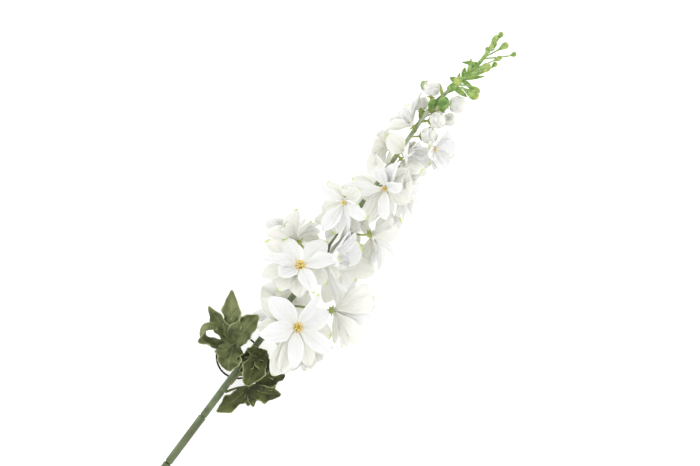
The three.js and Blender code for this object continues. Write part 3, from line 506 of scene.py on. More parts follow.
# Flowers, from bloom_01 up: calyx (distance from the cut end, side, height), the way it faces, petal
# length, petals in the inner and outer whorl, degrees that they open and that the first one is turned
flower = {
    "cupRadius": 3.6,
    "cupHeight": 2.6,
    "petalThickness": 0.42,
    "grid": (28, 20),  # rows and columns of a petal
    "hiddenGrid": (16, 12),  # the same in the flowers that face the table
    "rimWave": 0.15,  # share of the half width by which the rim waves
    "waves": 1.4,  # waves along the rim
    "crease": 1.3,  # depth of the pressed fold along the rib, in mm
    "creaseWidth": 0.16,  # as a share of the half width
    "pleats": 0.09,  # depth of the soft pleats, as a share of the half width
    "pleatCount": 1.9,  # on each side of the rib
    "rimRoll": 0.5,  # share of the half width by which one rim or the other rolls over
    "rimLip": 0.7,  # how far the cut rim stands up, in mm
    "pressMark": 0.3,  # depth of the mark across the petal, in mm
    "limeShare": 0.34,  # petals that have a lime point
    "list": [
        ([289, -18.5, 17], [0.28, -0.21, 0.93], 37, 6, 6, 84, 77),
        ([331.4, 9, 9], [0.5, 0.38, 0.78], 37, 6, 5, 86, 1),
        ([402.6, 13.2, 12], [-0.5, 0.05, 0.86], 28.5, 5, 5, 78, 38),
        ([432, -9, 12], [-0.25, 0.33, 0.91], 33, 5, 5, 74, 50),
        ([482, -20, 7], [0.48, -0.64, 0.6], 20, 5, 5, 74, 30),
        ([466.5, -2, 13], [0.12, -0.8, 0.5], 25, 5, 4, 54, 75),
        ([461, 9, -3], [-0.4, 0.82, -0.3], 28, 5, 4, 74, 10),
        ([436, -17, -4], [0.31, -0.94, 0.1], 29, 5, 4, 66, 50),
        ([391, -22, 3], [0.5, -0.6, -0.5], 31, 5, 5, 74, 45),
        ([318, -35, 4], [0.38, -0.66, -0.62], 39, 6, 5, 76, 35),
        ([347, 25, -5], [0.12, 0.86, -0.42], 35, 6, 5, 78, 40),
        ([351, -5, 7], [0.52, -0.62, 0.5], 32, 5, 4, 52, 50),
        ([488, 6, 3], [0.14, 0.96, 0.1], 22, 4, 4, 48, 20),
        ([279, -33, -8], [-0.3, -0.72, -0.5], 31, 5, 4, 76, 30),
        ([290, -6, -10], [-0.45, 0.1, -0.85], 28, 4, 4, 76, 60),
        ([311, 1, -13], [-0.15, 0.5, -0.85], 28, 4, 4, 78, 60),
        ([352, -11, -16], [0.1, -0.3, -0.95], 34, 4, 4, 76, 120),
        ([386, 1, -13], [0.1, 0.4, -0.9], 26, 4, 4, 76, 5),
        ([424, -6, -13], [0.1, 0, -0.99], 25, 4, 4, 74, 30),
        ([459, -5, 7], [-0.28, -0.92, -0.15], 28, 5, 4, 62, 25),
    ],
    # petals of the flowers that are seen from above, inner whorl and then outer one: turn, length,
    # width, degrees open, and a twist if the petal stands on edge
    "shaped": {
        1: [[(79, 42.2, 19, 76), (136, 43, 18, 72), (200, 39, 14.3, 76), (265, 35.9, 15.6, 80),
             (330, 30.1, 19, 82), (14, 40, 13, 54, 0.8)],
            [(87, 39.3, 19, 96), (187, 46, 20, 104), (197, 41.3, 19, 100), (235, 33.5, 14.7, 96),
             (291, 30.6, 19, 100), (122, 34, 20, 96)]],
        2: [[(79, 28, 13.8, 74), (132, 37.2, 13.8, 78), (174, 23, 17.3, 78), (245, 38.5, 14.7, 78),
             (309, 39, 17.3, 78), (357, 31, 19, 82)],
            [(91, 42, 17.3, 98), (149, 33.5, 15, 98), (185, 29, 15, 100), (225, 28.5, 19, 98),
             (280, 27, 15.6, 98)]],
        3: [[(76, 25.6, 12.1, 70), (181, 31.1, 13.8, 70), (216, 30.1, 15.6, 74), (288, 28.3, 13.8, 70),
             (325, 29, 12.1, 58, 0.7)],
            [(350, 22, 13.8, 86), (157, 24, 15.6, 90), (193, 33, 13.8, 90), (236, 27.7, 13.8, 90),
             (70, 21, 15.6, 88)]],
        4: [[(125, 37.2, 13, 66), (23, 30, 14, 50), (356, 36, 13, 66), (317, 36, 12.1, 58, 0.7),
             (231, 30, 13.8, 66)],
            [(142, 22, 13.8, 86), (54, 32.1, 15.6, 86), (337, 31.2, 15.6, 86), (285, 26, 15.6, 86),
             (180, 30.8, 15.6, 86)]],
        5: [[(311, 19.2, 16, 66), (357, 18.9, 12, 66), (244, 17.2, 12, 66), (188, 18.4, 14, 66),
             (127, 21.6, 12, 70)],
            [(286, 21.8, 15, 86), (242, 19.2, 15, 90), (200, 16, 13, 86), (96, 14, 12, 66),
             (325, 22.3, 15, 86)]],
        6: [[(35, 19.1, 13, 58), (282, 23.6, 14, 46), (227, 21.8, 12, 46), (98, 19.7, 13, 46),
             (330, 19, 14, 50)],
            [(81, 25, 17, 124), (253, 30, 13, 66), (275, 27, 12, 60), (63, 21.5, 16, 65)]],
        7: [[(297, 18, 17, 66), (242, 18.7, 15, 66), (141, 27.5, 12, 82), (60, 27.5, 11, 86),
             (29, 21.7, 9, 70)],
            [(264, 29.4, 17, 82), (229, 24.3, 15, 86), (313, 16.2, 15, 86), (119, 33.4, 12, 86)]],
        8: [[(119, 35.2, 12, 58), (184, 27.1, 13, 74), (281, 22.2, 9, 58), (215, 24, 13, 70),
             (46, 21.8, 11, 78)],
            [(231, 36.5, 13, 74), (257, 36, 13, 70), (133, 30.1, 13, 78), (286, 29.3, 11, 74)]],
        9: [[(42, 30.8, 19, 66), (187, 36.8, 9, 94), (176, 35.3, 13, 78), (125, 26, 11, 66),
             (352, 18.4, 13, 66)],
            [(60, 35.4, 17, 86), (192, 30.1, 11, 78), (258, 37.4, 15, 86), (206, 39.9, 15, 86),
             (36, 32.1, 15, 82)]],
        10: [[(326, 39, 21, 120), (350, 33.1, 8, 64), (55, 38.3, 20, 68), (75, 33.6, 18, 72),
              (106, 28, 15, 68), (173, 36.4, 16, 64)],
             [(31, 44.5, 17, 88), (45, 46.6, 18, 84), (104, 44, 18, 88), (152, 27, 13, 92),
              (122, 33.3, 13, 88)]],
        11: [[(269, 39.5, 17, 70), (275, 29.3, 13, 70), (324, 28.4, 15, 70), (60, 34.8, 13, 58),
              (60, 40.7, 9, 82), (68, 40, 11, 90)],
             [(263, 42, 17, 90), (283, 34.9, 13, 90), (346, 20.2, 13, 94), (297, 38.1, 15, 86),
              (75, 34, 12, 90)]],
        12: [[(321, 30.3, 23, 44), (4, 33.8, 14, 44), (276, 17.1, 16, 44), (22, 34, 14, 48),
              (102, 30, 15, 36)],
             [(335, 34.4, 18, 64), (295, 28.6, 20, 60), (183, 18.9, 14, 56), (15, 36, 16, 62)]],
        13: [[(242, 21.9, 18, 40), (355, 18.9, 13, 48), (15, 27.7, 10, 68), (293, 21.1, 13, 40)],
             [(225, 25.4, 16, 60), (95, 28.3, 16, 60), (33, 25.1, 11, 60), (67, 24.3, 14, 60)]],
        14: [[(86, 22.9, 12, 78), (127, 26, 12, 82), (164, 26.4, 13, 82), (208, 35.3, 14.8, 82),
              (45, 24, 12, 78)],
             [(194, 30.6, 13, 86), (112, 27, 13, 86), (60, 25, 13, 82), (160, 24, 13, 86)]],
        20: [[(75, 24.8, 15, 54), (95, 27.2, 9, 54), (272, 23.4, 14, 58), (239, 23.1, 11, 82),
              (301, 16.3, 10, 70)],
             [(110, 37.5, 11, 54), (125, 33.1, 13, 74), (68, 30.9, 13, 74), (241, 34, 11, 78)]],
    },
}
# The inner and outer whorl: number of the first petal's draws, turn as a share of the space between
# petals, length and width as shares of the flower's, degrees more open than the flower, and where and
# at which angle the petals leave the cup
whorls = [
    {"first": 0, "offset": 0, "length": 0.97, "width": 0.49, "open": -8, "root": (1.7, 2), "rootAngle": 30},
    {"first": 20, "offset": 0.5, "length": 1.05, "width": 0.6, "open": 12, "root": (2.2, 0.9),
     "rootAngle": 56},
]


def petalOutline(s):
    # share of the full half width: narrow foot, rise to the shoulder by a smooth step, then one less a
    # power of the way past it, which ends in a point
    past = np.clip((s - 0.54) / 0.46, 0, 1)
    return (0.16 + 0.84 * ease(s, 0, 0.48)) * (1 - past**2.5) ** 0.9


def addPetal(shell, hub, axes, grid, layer, plan, draw, finish):
    # draw holds the numbers from -1 to 1 that the part's source has too, and finish eight numbers from
    # 0 to 1 for what only the fabric shows
    turn, length, width, openDegrees, twist = plan
    wave, phase, fold, point, roll, side, pleat, bend = finish
    whorl = whorls[layer]
    half, opened = width / 2, math.radians(openDegrees)
    root, curl = math.radians(whorl["rootAngle"]), math.radians(12 * draw[2])
    over = 1.0 if side > 0.5 else -1.0
    lift = -1.0 if roll < 0.3 else 1.0
    lime = 1.0 if point < flower["limeShare"] else 0.0
    edge = 0.86 + 0.06 * wave

    def relief(s, t, reach):
        # the rim waves by a sine along the rib, more towards the rim; a fold dips along the rib; pleats
        # run beside it as a cosine across the blade; one rim rolls over by a square of the way to it;
        # the cut rim stands up a little; a shallow press mark crosses the blade aslant
        rim = flower["rimWave"] * (0.4 + wave) * reach * np.abs(t) ** 2.4
        rim = rim * np.sin(2 * math.pi * (flower["waves"] * s + phase + 0.31 * np.sign(t)))
        dip = flower["crease"] * (0.4 + fold) * np.exp(-np.abs(t) / flower["creaseWidth"]) * (1 - 0.6 * s)
        pleats = flower["pleats"] * reach * np.cos(2 * math.pi * (flower["pleatCount"] * t + pleat))
        pleats = pleats * np.sin(math.pi * s)
        rolled = lift * flower["rimRoll"] * roll * reach * np.maximum(over * t, 0) ** 2
        rolled = rolled * ease(s, 0.2, 0.6)
        across = (s - 0.35 - 0.3 * bend + 0.12 * over * t) / 0.07
        mark = flower["pressMark"] * np.exp(-across * across)
        lip = flower["rimLip"] * ease(np.abs(t), 0.8, 1.0) * ease(s, 0.1, 0.4)
        return rim - dip * ease(s, 0.02, 0.25) * half / 9 + pleats + rolled + lip - mark

    sheet = bladeSheet(
        hub, axes, math.radians(turn), length, whorl["root"], relief=relief,
        angleAt=lambda s: opened - (opened - root) * np.exp(-s / 0.16) + curl * s * s,
        halfWidthAt=lambda s: half * petalOutline(s),
        cup=0.26 + 0.1 * draw[6], twist=0.14 * draw[7] + twist, sway=0.05 * draw[8])
    # cream in the outer whorl, partly painted warm shade, lime past the edge at some points
    tint = lambda s, t: np.maximum(0.4 * layer, lime * ease(s + 0.02 * np.abs(t), edge, edge + 0.09))
    addBlade(shell, sheet, *grid, flower["petalThickness"], tint)


def makeFlower(number, row):
    at, face, reach, inner, outer, openDegrees, turn = row
    shell = newShell()
    axes = axesOf(face)
    hub = np.array(at, float)
    dice = np.random.default_rng(100 + number)
    grid = flower["hiddenGrid"] if face[2] < -0.8 else flower["grid"]
    for layer, (whorl, count) in enumerate(zip(whorls, (inner, outer))):
        for k in range(count):
            draw = [0] + [vary(number, (whorl["first"] + k) * 7 + n) * 2 - 1 for n in range(1, 9)]
            plan = (turn + 5 * draw[4] + 360 * (k + whorl["offset"]) / count,
                    reach * whorl["length"] * (1 + 0.07 * draw[5]),
                    reach * whorl["width"] * (1 + 0.08 * draw[3]),
                    openDegrees + whorl["open"] + 5 * draw[1])
            if number in flower["shaped"]:
                plan = flower["shaped"][number][layer][k]
            addPetal(shell, hub, axes, grid, layer, (*plan, 0)[:5], draw, dice.random(8))
    r, h = flower["cupRadius"], flower["cupHeight"]
    addTurned(shell, at, face, [0.4, 0.7, 1.6, h, h + 0.15], [2.0, 2.6, 3.2, r, r - 0.5], 20)
    name = "%02d" % number
    makePiece("petals_" + name, shell, petalSatin, ["bloom_" + name])


eye = {
    "height": 5.4,
    "radius": 4.8,
    "rings": [(0.76, 13, 0.85), (0.48, 8, 1.25)],  # beads: share of the radius, count, share of the height
    "beadRadius": 0.85,
    "beadLength": 1.25,  # as a multiple of its radius
    "heartRadius": 2.5,
    "heartHeight": 3.6,
    "fullAt": 30,  # petal length up to which the eye grows with the flower, in mm
    "openFrom": 36,  # petal length of the flowers that lie wide open, in mm
    "deep": 0.55,  # share of the eye's size in the others, whose petals still close over it
}


def makeStamens(number, row):
    at, face, reach = row[:3]
    scale = min(1, reach / eye["fullAt"]) * (1 if reach > eye["openFrom"] else eye["deep"])
    shell = newShell()
    up, first, second = axesOf(face)
    hub = np.array(at, float)
    dice = np.random.default_rng(300 + number)
    base = flower["cupHeight"] + 0.35
    # green heart: a low dome with five bumps round its top
    share = np.linspace(0, 1, 9)
    heights = base + scale * eye["heartHeight"] * np.sin(share * math.pi / 2)
    radii = scale * eye["heartRadius"] * np.cos(share * math.pi / 2 * 0.97) ** 0.7
    bumps = lambda s, turn: 1 + 0.14 * s * np.cos(5 * turn)
    addTurned(shell, at, face, heights, radii, 20, 1.0, bumps)
    for radius, count, tall in eye["rings"]:
        for k in range(count):
            turn = 2 * math.pi * (k + 0.7 * dice.random()) / count
            out = first * math.cos(turn) + second * math.sin(turn)
            away = eye["radius"] * radius * (0.85 + 0.3 * dice.random())
            rise = base + scale * ((eye["height"] - base) * tall + 0.8 * dice.random())
            head = hub + out * away * scale + up * rise
            foot = hub + out * 1.6 * scale + up * base
            middle = (head + foot) / 2 + up * 0.5
            addBar(shell, smoothLine([foot, middle, head], 5), np.full(5, 0.3 * scale), 5, 0.35)
            size = eye["beadRadius"] * scale * (0.8 + 0.35 * dice.random())
            tilt = unit(out * (0.4 + dice.random()) + up + 0.5 * (dice.random(3) - 0.5))
            around = np.linspace(0.04, 0.96, 6) * math.pi
            heights = -np.cos(around) * size * eye["beadLength"]
            addTurned(shell, head, tilt, heights, np.sin(around) * size, 8)
    name = "%02d" % number
    makePiece("stamenRing_" + name, shell, stamenFoam, ["stamens_" + name])


for number, row in enumerate(flower["list"], 1):
    makeFlower(number, row)
    makeStamens(number, row)
print("flowers ready")


# White buds: calyx, the way they point, and their radius
whiteBud = {
    "petals": (3, 5),  # in the inner and the outer layer
    "reachDegrees": 122,  # how far the outer petals reach over the bud, from its foot
    "core": 0.84,  # radius as a share of the bud's
    "grid": (20, 14),  # rows and columns of a petal
    "list": [
        ([518.5, 8.5, 3], [0.86, 0.5, 0.15], 7.3),
        ([521.5, -8.8, 0], [0.6, -0.79, 0.1], 7.6),
        ([501, -4.5, 8], [0.66, -0.66, 0.35], 7.2),
        ([486, -6, 8], [0.66, -0.7, 0.25], 7.2),
        ([507, -13, -4], [0.7, -0.7, -0.15], 5.6),
        ([503, 7, -5], [0.6, 0.7, -0.35], 6.2),
        ([508, -2, -8], [0.6, -0.1, -0.8], 6.4),
    ],
}


def makeWhiteBud(number, row):
    # a core and two layers of petals folded over it. All lie on one egg: the place on it is an angle
    # from the foot and a turn, the distance from its axis is a power of the angle's sine, which makes
    # it a little square, and each petal climbs from one rim to the other, so that it laps over the next
    at, face, radius = row
    shell = newShell()
    up, first, second = axesOf(face)
    hub = np.array(at, float) + up * (0.35 + 0.93 * radius)
    dice = np.random.default_rng(700 + number)

    def onEgg(angle, turn, grow):
        down = 0.95 * radius * np.cos(angle) * grow
        away = radius * np.sin(np.clip(angle, 0, math.pi)) ** 0.56 * grow
        return hub - up * down[..., None] + outwards(first, second, turn) * away[..., None]

    angle = math.pi * np.linspace(0.03, 0.97, 16)
    core = whiteBud["core"] * radius
    # the core and the petals take the cream tint of 0.4, partly painted warm shade
    addTurned(shell, hub, face, -core * np.cos(angle), core * np.sin(angle) ** 0.62, 40, 0.4)
    for layer, count in enumerate(whiteBud["petals"]):
        for k in range(count):
            start = 2 * math.pi * (k + 0.3 * dice.random()) / count + layer
            reach = math.radians(whiteBud["reachDegrees"] + 26 * (1 - layer) - 24 * dice.random())
            wide = (0.92 if layer else 1.15) * (0.9 + 0.2 * dice.random())
            ripple, flare = 6.28 * dice.random(), 0.03 + 0.1 * dice.random()

            def sheet(s, t):
                s, t = np.broadcast_arrays(s, t)
                across = wide * (0.55 + 0.45 * ease(s, 0, 0.4)) * (1 - 0.42 * ease(s, 0.74, 1.0) ** 1.6)
                grow = 0.86 + 0.05 * layer + 0.08 * (t * 0.5 + 0.5) + flare * ease(s, 0.66, 1)
                grow = grow + 0.02 * np.sin(5 * s + 3 * t + ripple) - 0.03 * np.exp(-np.abs(t) / 0.1)
                return layOnTable(onEgg(0.25 + (reach - 0.25) * s, start + across * t, grow))

            addBlade(shell, sheet, *whiteBud["grid"], flower["petalThickness"], 0.4, 0.02)
    makePiece("budPetals_%d" % number, shell, petalSatin, ["bud_%d" % number])


for number, row in enumerate(whiteBud["list"], 1):
    makeWhiteBud(number, row)
print("white buds ready")


# Stalk with its pedicels, calyces, closed green buds and bracts. Its line is given as points from the
# cut end, each with the radius there.
stalk = {
    "line": [
        [176, 0, 0, 3.1], [230, 0, 0, 2.9], [300, 0, 0, 2.6], [360, 0, 0, 2.3], [430, 0.3, 0, 2.1],
        [470, 1.6, 0.3, 1.9], [498, 2.5, 0.4, 1.8], [515, 2.0, 0.2, 1.7], [531, -1.2, -0.4, 1.6],
    ],
    "spigotRadius": 2.4,
    "spigotLength": 5,
    "pedicelRadius": 0.966,
    "sepalLength": 4.9,
    "sepalWidth": 2.9,
    "bladeThickness": 0.6,  # of sepals and bracts
    # closed green buds: foot, the way they point, radius and length
    "buds": [
        ([514, -6.2, 4], [0.83, 0.3, 0.47], 5.3, 14.5),
        ([509, 1.6, 2.5], [0.86, 0.28, 0.43], 4, 11.6),
        ([519.6, 12.3, -1], [0.39, 0.88, 0.26], 4.2, 11.5),
    ],
    # bracts: foot, the way they point, length and width
    "bracts": [
        ([522, -2.4, 8.5], [0.69, 0.71, 0.1], 14.4, 2.8),
        ([449, -1.6, 1], [-0.9, 0.25, 0.35], 12, 4.4),
        ([496, 4, -1.6], [0.8, 0.5, -0.2], 10, 3),
    ],
}


def pointOnStalk(x):  # the stalk's middle at a distance from the cut end
    line = np.array(stalk["line"])
    return np.array([np.interp(x, line[:, 0], line[:, k]) for k in range(3)])


def addBract(shell, at, direction, length, width, tint):
    # a narrow leaf: straight along its direction, half width by a sine, lifted by the square of s and t
    along = unit(direction)
    side = unit(np.cross([0, 0, 1], along))
    normal = np.cross(along, side)

    def sheet(s, t):
        s, t = np.broadcast_arrays(s, t)
        half = width * np.sin(math.pi * np.minimum(0.15 + 0.85 * s, 1)) ** 0.85 / 2
        point = np.array(at) + along * (s * length)[..., None] + side * (t * half)[..., None]
        lift = 0.12 * length * s * s + 0.3 * width * t * t - 0.06 * width * np.exp(-np.abs(t) / 0.2)
        return layOnTable(point + normal * lift[..., None])

    addBlade(shell, sheet, 12, 8, stalk["bladeThickness"], tint)


def addCalyx(shell, at, face, size, seed):
    # a cone under five pointed sepals; each sepal is a blade that leaves the cone and turns outwards
    axes = axesOf(face)
    hub = np.array(at, float)
    addTurned(shell, at, face, np.array([-3.6, -2.8, -1.8, -0.8, -0.3]) * size,
              np.array([0.9, 1.35, 1.8, 2.1, 1.2]) * size, 12, [0.35, 0.42, 0.5, 0.5, 0.5])
    for k in range(5):
        slope = math.radians(66 + 14 * vary(seed, 10 + k))
        sheet = bladeSheet(
            hub, axes, 2 * math.pi * k / 5, stalk["sepalLength"] * size, (1.1 * size, -2.3 * size),
            angleAt=lambda s: slope + (math.radians(18) - 0.35 * s) * s,
            halfWidthAt=lambda s: stalk["sepalWidth"] / 2 * size * (
                0.62 + 0.38 * np.sin(math.pi * np.minimum(s * 1.6, 1))) * (1 - s**2.2) + 0.02,
            cup=0.35, twist=0.2, sway=0.06 * (vary(seed, 20 + k) - 0.5),
            relief=lambda s, t, width: -0.16 * np.exp(-np.abs(t) / 0.2) * (1 - s))
        addBlade(shell, sheet, 8, 6, stalk["bladeThickness"] * size, lambda s, t: 0.45 + 0.14 * s, 0.06)


def addPedicel(shell, at, face, size):
    # a cubic curve that leaves the stalk along it and comes up into the calyx: its start, two guide
    # points and end, weighted by 1, 3, 3 and 1 times the powers of 1 - u and u
    up = unit(face)
    end = np.array(at, float) - up * 2 * size
    away = math.hypot(at[1], at[2])
    start = pointOnStalk(at[0] - 6 - 0.45 * away)
    knee = end + up * (-0.45 * away - 2)
    second = start + 0.6 * (knee - start) + np.array([3, 0, 0])
    u = np.linspace(0, 1, 14)[:, None]
    line = start * (1 - u) ** 3 + 3 * second * u * (1 - u) ** 2 + 3 * knee * u**2 * (1 - u) + end * u**3
    flare = 1 + 0.35 * np.exp(-u[:, 0] / 0.08) + 0.3 * ease(u[:, 0], 0.86, 1)
    radii = stalk["pedicelRadius"] * size * flare
    addBar(shell, layOnTable(line), radii, 9, 0.12 + 0.3 * u[:, 0])


def addClub(shell, at, face, radius, length, tint, foot, shoulder, rise=-0.05, sides=20):
    # a club: past the rise its radius grows by a smooth step, and past the shoulder it ends in a cap,
    # a quarter of an ellipse; shallow grooves run up it between five petals
    cap = shoulder + (1 - shoulder) * np.sin(np.linspace(0.2, 1.5, 7))
    share = np.concatenate([np.linspace(0.01, shoulder, 9), cap])
    radii = radius * (foot + (1 - foot) * ease(share, rise, shoulder))
    radii = radii * np.sqrt(1 - np.clip((share - shoulder) / (1 - shoulder), 0, 1) ** 2 + 0.002)
    groove = lambda s, turn: 1 - 0.1 * np.abs(np.cos(2.5 * turn + 1.5 * s)) ** 6 * ease(s, 0.1, 0.5)
    addTurned(shell, at, face, share * length, radii, sides, tint, groove)


def makeStalk():
    shell = newShell()
    line = smoothLine(stalk["line"], 150)
    ribs = lambda s, turn: 1 + 0.025 * np.cos(9 * turn) + 0.02 * np.cos(3 * turn + 40 * s)
    addBar(shell, line[:, :3], line[:, 3], 36, 0.0, ribs)
    root = stalk["line"][0][0]
    x = np.linspace(root - stalk["spigotLength"], root + 1, 6)
    addBar(shell, np.stack([x, 0 * x, 0 * x], -1), np.full(6, stalk["spigotRadius"]), 28)
    held = [(row[0], row[1], min(1, 0.55 + row[2] / 70)) for row in flower["list"]]
    held += [(row[0], row[1], 0.8) for row in whiteBud["list"]]
    held += [(row[0], row[1], 0.7) for row in stalk["buds"]]
    for k, (at, face, size) in enumerate(held):
        addPedicel(shell, at, face, size)
        addCalyx(shell, at, face, size, k)
    for at, face, radius, length in stalk["buds"]:
        shade = np.linspace(0.8, 1.0, 16)
        addClub(shell, np.array(at) - 0.8 * unit(face), face, radius, length, shade, 0.55, 0.55, sides=30)
    for row in stalk["bracts"]:
        addBract(shell, *row, 0.75)
    makePiece("stalkMoulding", shell, stalkPlastic, ["stalk"])


makeStalk()
print("stalk ready")


# Tip: its line with radii, buds as share of the way along the line, foot, direction, radius and length,
# and bracts as those of the stalk
tip = {
    "strands": 5,
    "strandSize": 0.42,  # radius as a share of the line's
    "strandTurn": 2.2,  # how far a strand winds round the line, in radians
    "line": [
        [531.3, -1.3, -0.4, 2.6], [535, -2, -0.6, 3.1], [541, -3.3, -1, 2.5], [551, -5.6, -1.6, 1.9],
        [568, -8, -2.6, 1.5], [580, -7.8, -3, 1.2], [588, -7.4, -3.2, 1],
    ],
    "buds": [
        (0.98, [590.4, -8.9, -3.2], [0.98, 0.15, 0.09], 2.5, 8.6),
        (0.9, [581.2, -6.6, -3], [1, 0, 0.02], 2.9, 13),
        (0.85, [581.2, -11.3, -6], [0.93, 0.35, -0.13], 1.5, 7.6),
        (0.8, [577.7, -9.5, 0], [0.97, 0.2, 0.12], 1.7, 8.2),
        (0.72, [582.7, -13.6, -2.6], [0.93, -0.36, 0.08], 3.1, 12.3),
        (0.7, [584.9, -24.3, -4.5], [0.82, -0.57, 0], 2.3, 7.7),
        (0.56, [572.7, -15.7, -2], [0.88, -0.47, 0.1], 2.3, 10.1),
        (0.46, [557.8, -8.8, 1.2], [0.8, -0.58, 0.13], 4.1, 15.1),
        (0.54, [567.1, -18.5, -7], [0.97, -0.18, -0.13], 2.4, 7.6),
        (0.14, [539.6, -7.7, -0.4], [0.08, -1, -0.06], 4.4, 17.8),
        (0.16, [542.9, -8.3, -4.6], [0.15, -0.99, -0.06], 3, 15.6),
        (0.24, [541, -3, 3.6], [0.35, 0.1, 0.95], 3.9, 7),
        (0.4, [549, -7, -6.6], [0.4, -0.2, -0.9], 3.4, 9),
        (0.66, [575, -7, -7.6], [0.7, 0.1, -0.7], 2.2, 7),
    ],
    "bracts": [
        ([541.8, -3.4, -0.6], [-0.11, 0.97, 0.22], 9.1, 5.4),
        ([547.1, -4.8, -1], [0.87, 0.48, 0.1], 9.7, 4.6),
        ([551.2, -6.6, 0], [0.89, 0.42, 0.15], 16.2, 3),
        ([564.8, -8.3, -1.6], [-0.5, 0.86, 0.09], 15.2, 3.4),
        ([559, -7.1, -1.8], [0.31, 0.94, -0.12], 8.4, 3.2),
        ([549.4, -5.8, -1], [0.78, -0.62, 0.06], 17.5, 3.2),
        ([546.6, -5.7, -2], [0.71, -0.71, 0], 18.3, 3.2),
        ([544.7, -4.5, -0.4], [0.1, -0.99, 0.09], 11.6, 3.8),
        ([535.9, -2.9, -1], [0, -0.99, -0.11], 14, 5),
        ([536.3, -2.7, -0.5], [-0.99, 0.1, 0], 7.6, 3.2),
        ([541, -3.4, -2.6], [0.5, 0.3, -0.8], 11, 3),
    ],
}


def makeTip():
    shell = newShell()
    line = smoothLine(tip["line"], 60)
    ribs = lambda s, turn: 1 + 0.05 * np.cos(5 * turn + 8 * s)
    addBar(shell, line[:, :3], line[:, 3], 20, 0.1, ribs)
    for k in range(tip["strands"]):
        # a strand of the stalk: it winds round the line by a slow turn, half sunk in it, and ends short
        # of the line's end
        turn = 2.1 * k + np.linspace(0, tip["strandTurn"], len(line))
        beside = np.stack([0 * turn, np.cos(turn), np.sin(turn)], -1) * line[:, 3:] * 0.8
        addBar(shell, (line[:, :3] + beside)[:-6], line[:-6, 3] * tip["strandSize"], 8, 0.15)
    for place, at, face, radius, length in tip["buds"]:
        start = line[int(round(place * (len(line) - 1))), :3]
        up = unit(face)
        end = np.array(at) + up * 0.15 * length
        middle = start + 0.55 * (np.array(at) - start) - up * 0.8
        addBar(shell, smoothLine([start, middle, end], 10), np.linspace(0.8, 0.6, 10), 9, 0.2)
        addClub(shell, at, face, radius, length, np.linspace(0.1, 1.0, 16) ** 2, 0.24, 0.72, rise=0.14)
    for row in tip["bracts"]:
        addBract(shell, *row, 0.05)
    makePiece("tipMoulding", shell, tipPlastic, ["tip_spray"])


makeTip()
print("tip ready")


# Leaves: hub, the way the blade faces, root on the stalk, and the lobes as turn from the stem's
# direction, length, width, the rib's angle at root and point, and where they differ from the others
# also how deep they are folded and how far they lean to one side. The outline gives the share of the
# half width at shares of the length.
leaf = {
    "thickness": 0.6,
    "grid": (46, 20),  # rows and columns of a lobe
    "petioleRadii": (1.25, 1.0),  # at the stalk and at the blade
    "crumple": 0.24,  # share of the half width by which the rim buckles
    "teeth": 0.13,  # share of the half width by which the rim runs in and out
    "outline": [[0, 0.5], [0.1, 0.64], [0.22, 0.8], [0.36, 0.95], [0.48, 1], [0.58, 0.97], [0.68, 0.85],
                [0.77, 0.68], [0.85, 0.5], [0.92, 0.32], [0.97, 0.17], [0.99, 0.08], [1, 0]],
    "list": [
        ("leaf_upper", [244.5, 16.5, 9], [-0.1, 0.25, 0.96], [230, 2.6, 2.2],
         [(39, 48, 17, 82, 96), (28, 32, 12, 80, 98), (73, 41, 15, 84, 96),
          (146, 57, 20, 84, -186, 0.1, 50), (-7, 36, 22, 76, 104, 0.5), (-156, 27, 24, 80, 110)]),
        ("leaf_front", [250.9, -4.8, 10], [0.1, -0.3, 0.94], [213, -2.6, 1.2],
         [(-162, 33, 21, 78, 104, 0.75), (-86, 12, 11, 60, 100), (-124, 23, 14, 70, 110),
          (173, 25, 11, 84, 108), (143, 22, 10, 80, 108), (103, 14, 9, 66, 84)]),
        ("leaf_lower", [218.9, -17.3, -5], [-0.1, -0.45, 0.9], [204, -2.8, -1.4],
         [(-72, 32, 16, 82, 106), (-127, 22, 8, 88, 108), (-96, 24, 9, 90, 104),
          (162, 37, 16, 84, 104), (-142, 20, 10, 90, 104)]),
        ("leaf_back", [229.2, -18.1, -6], [0.15, -0.4, 0.9], [222, -2.2, -2.2],
         [(-54, 28, 15, 84, 104), (-84, 22, 12, 88, 108)]),
    ],
}


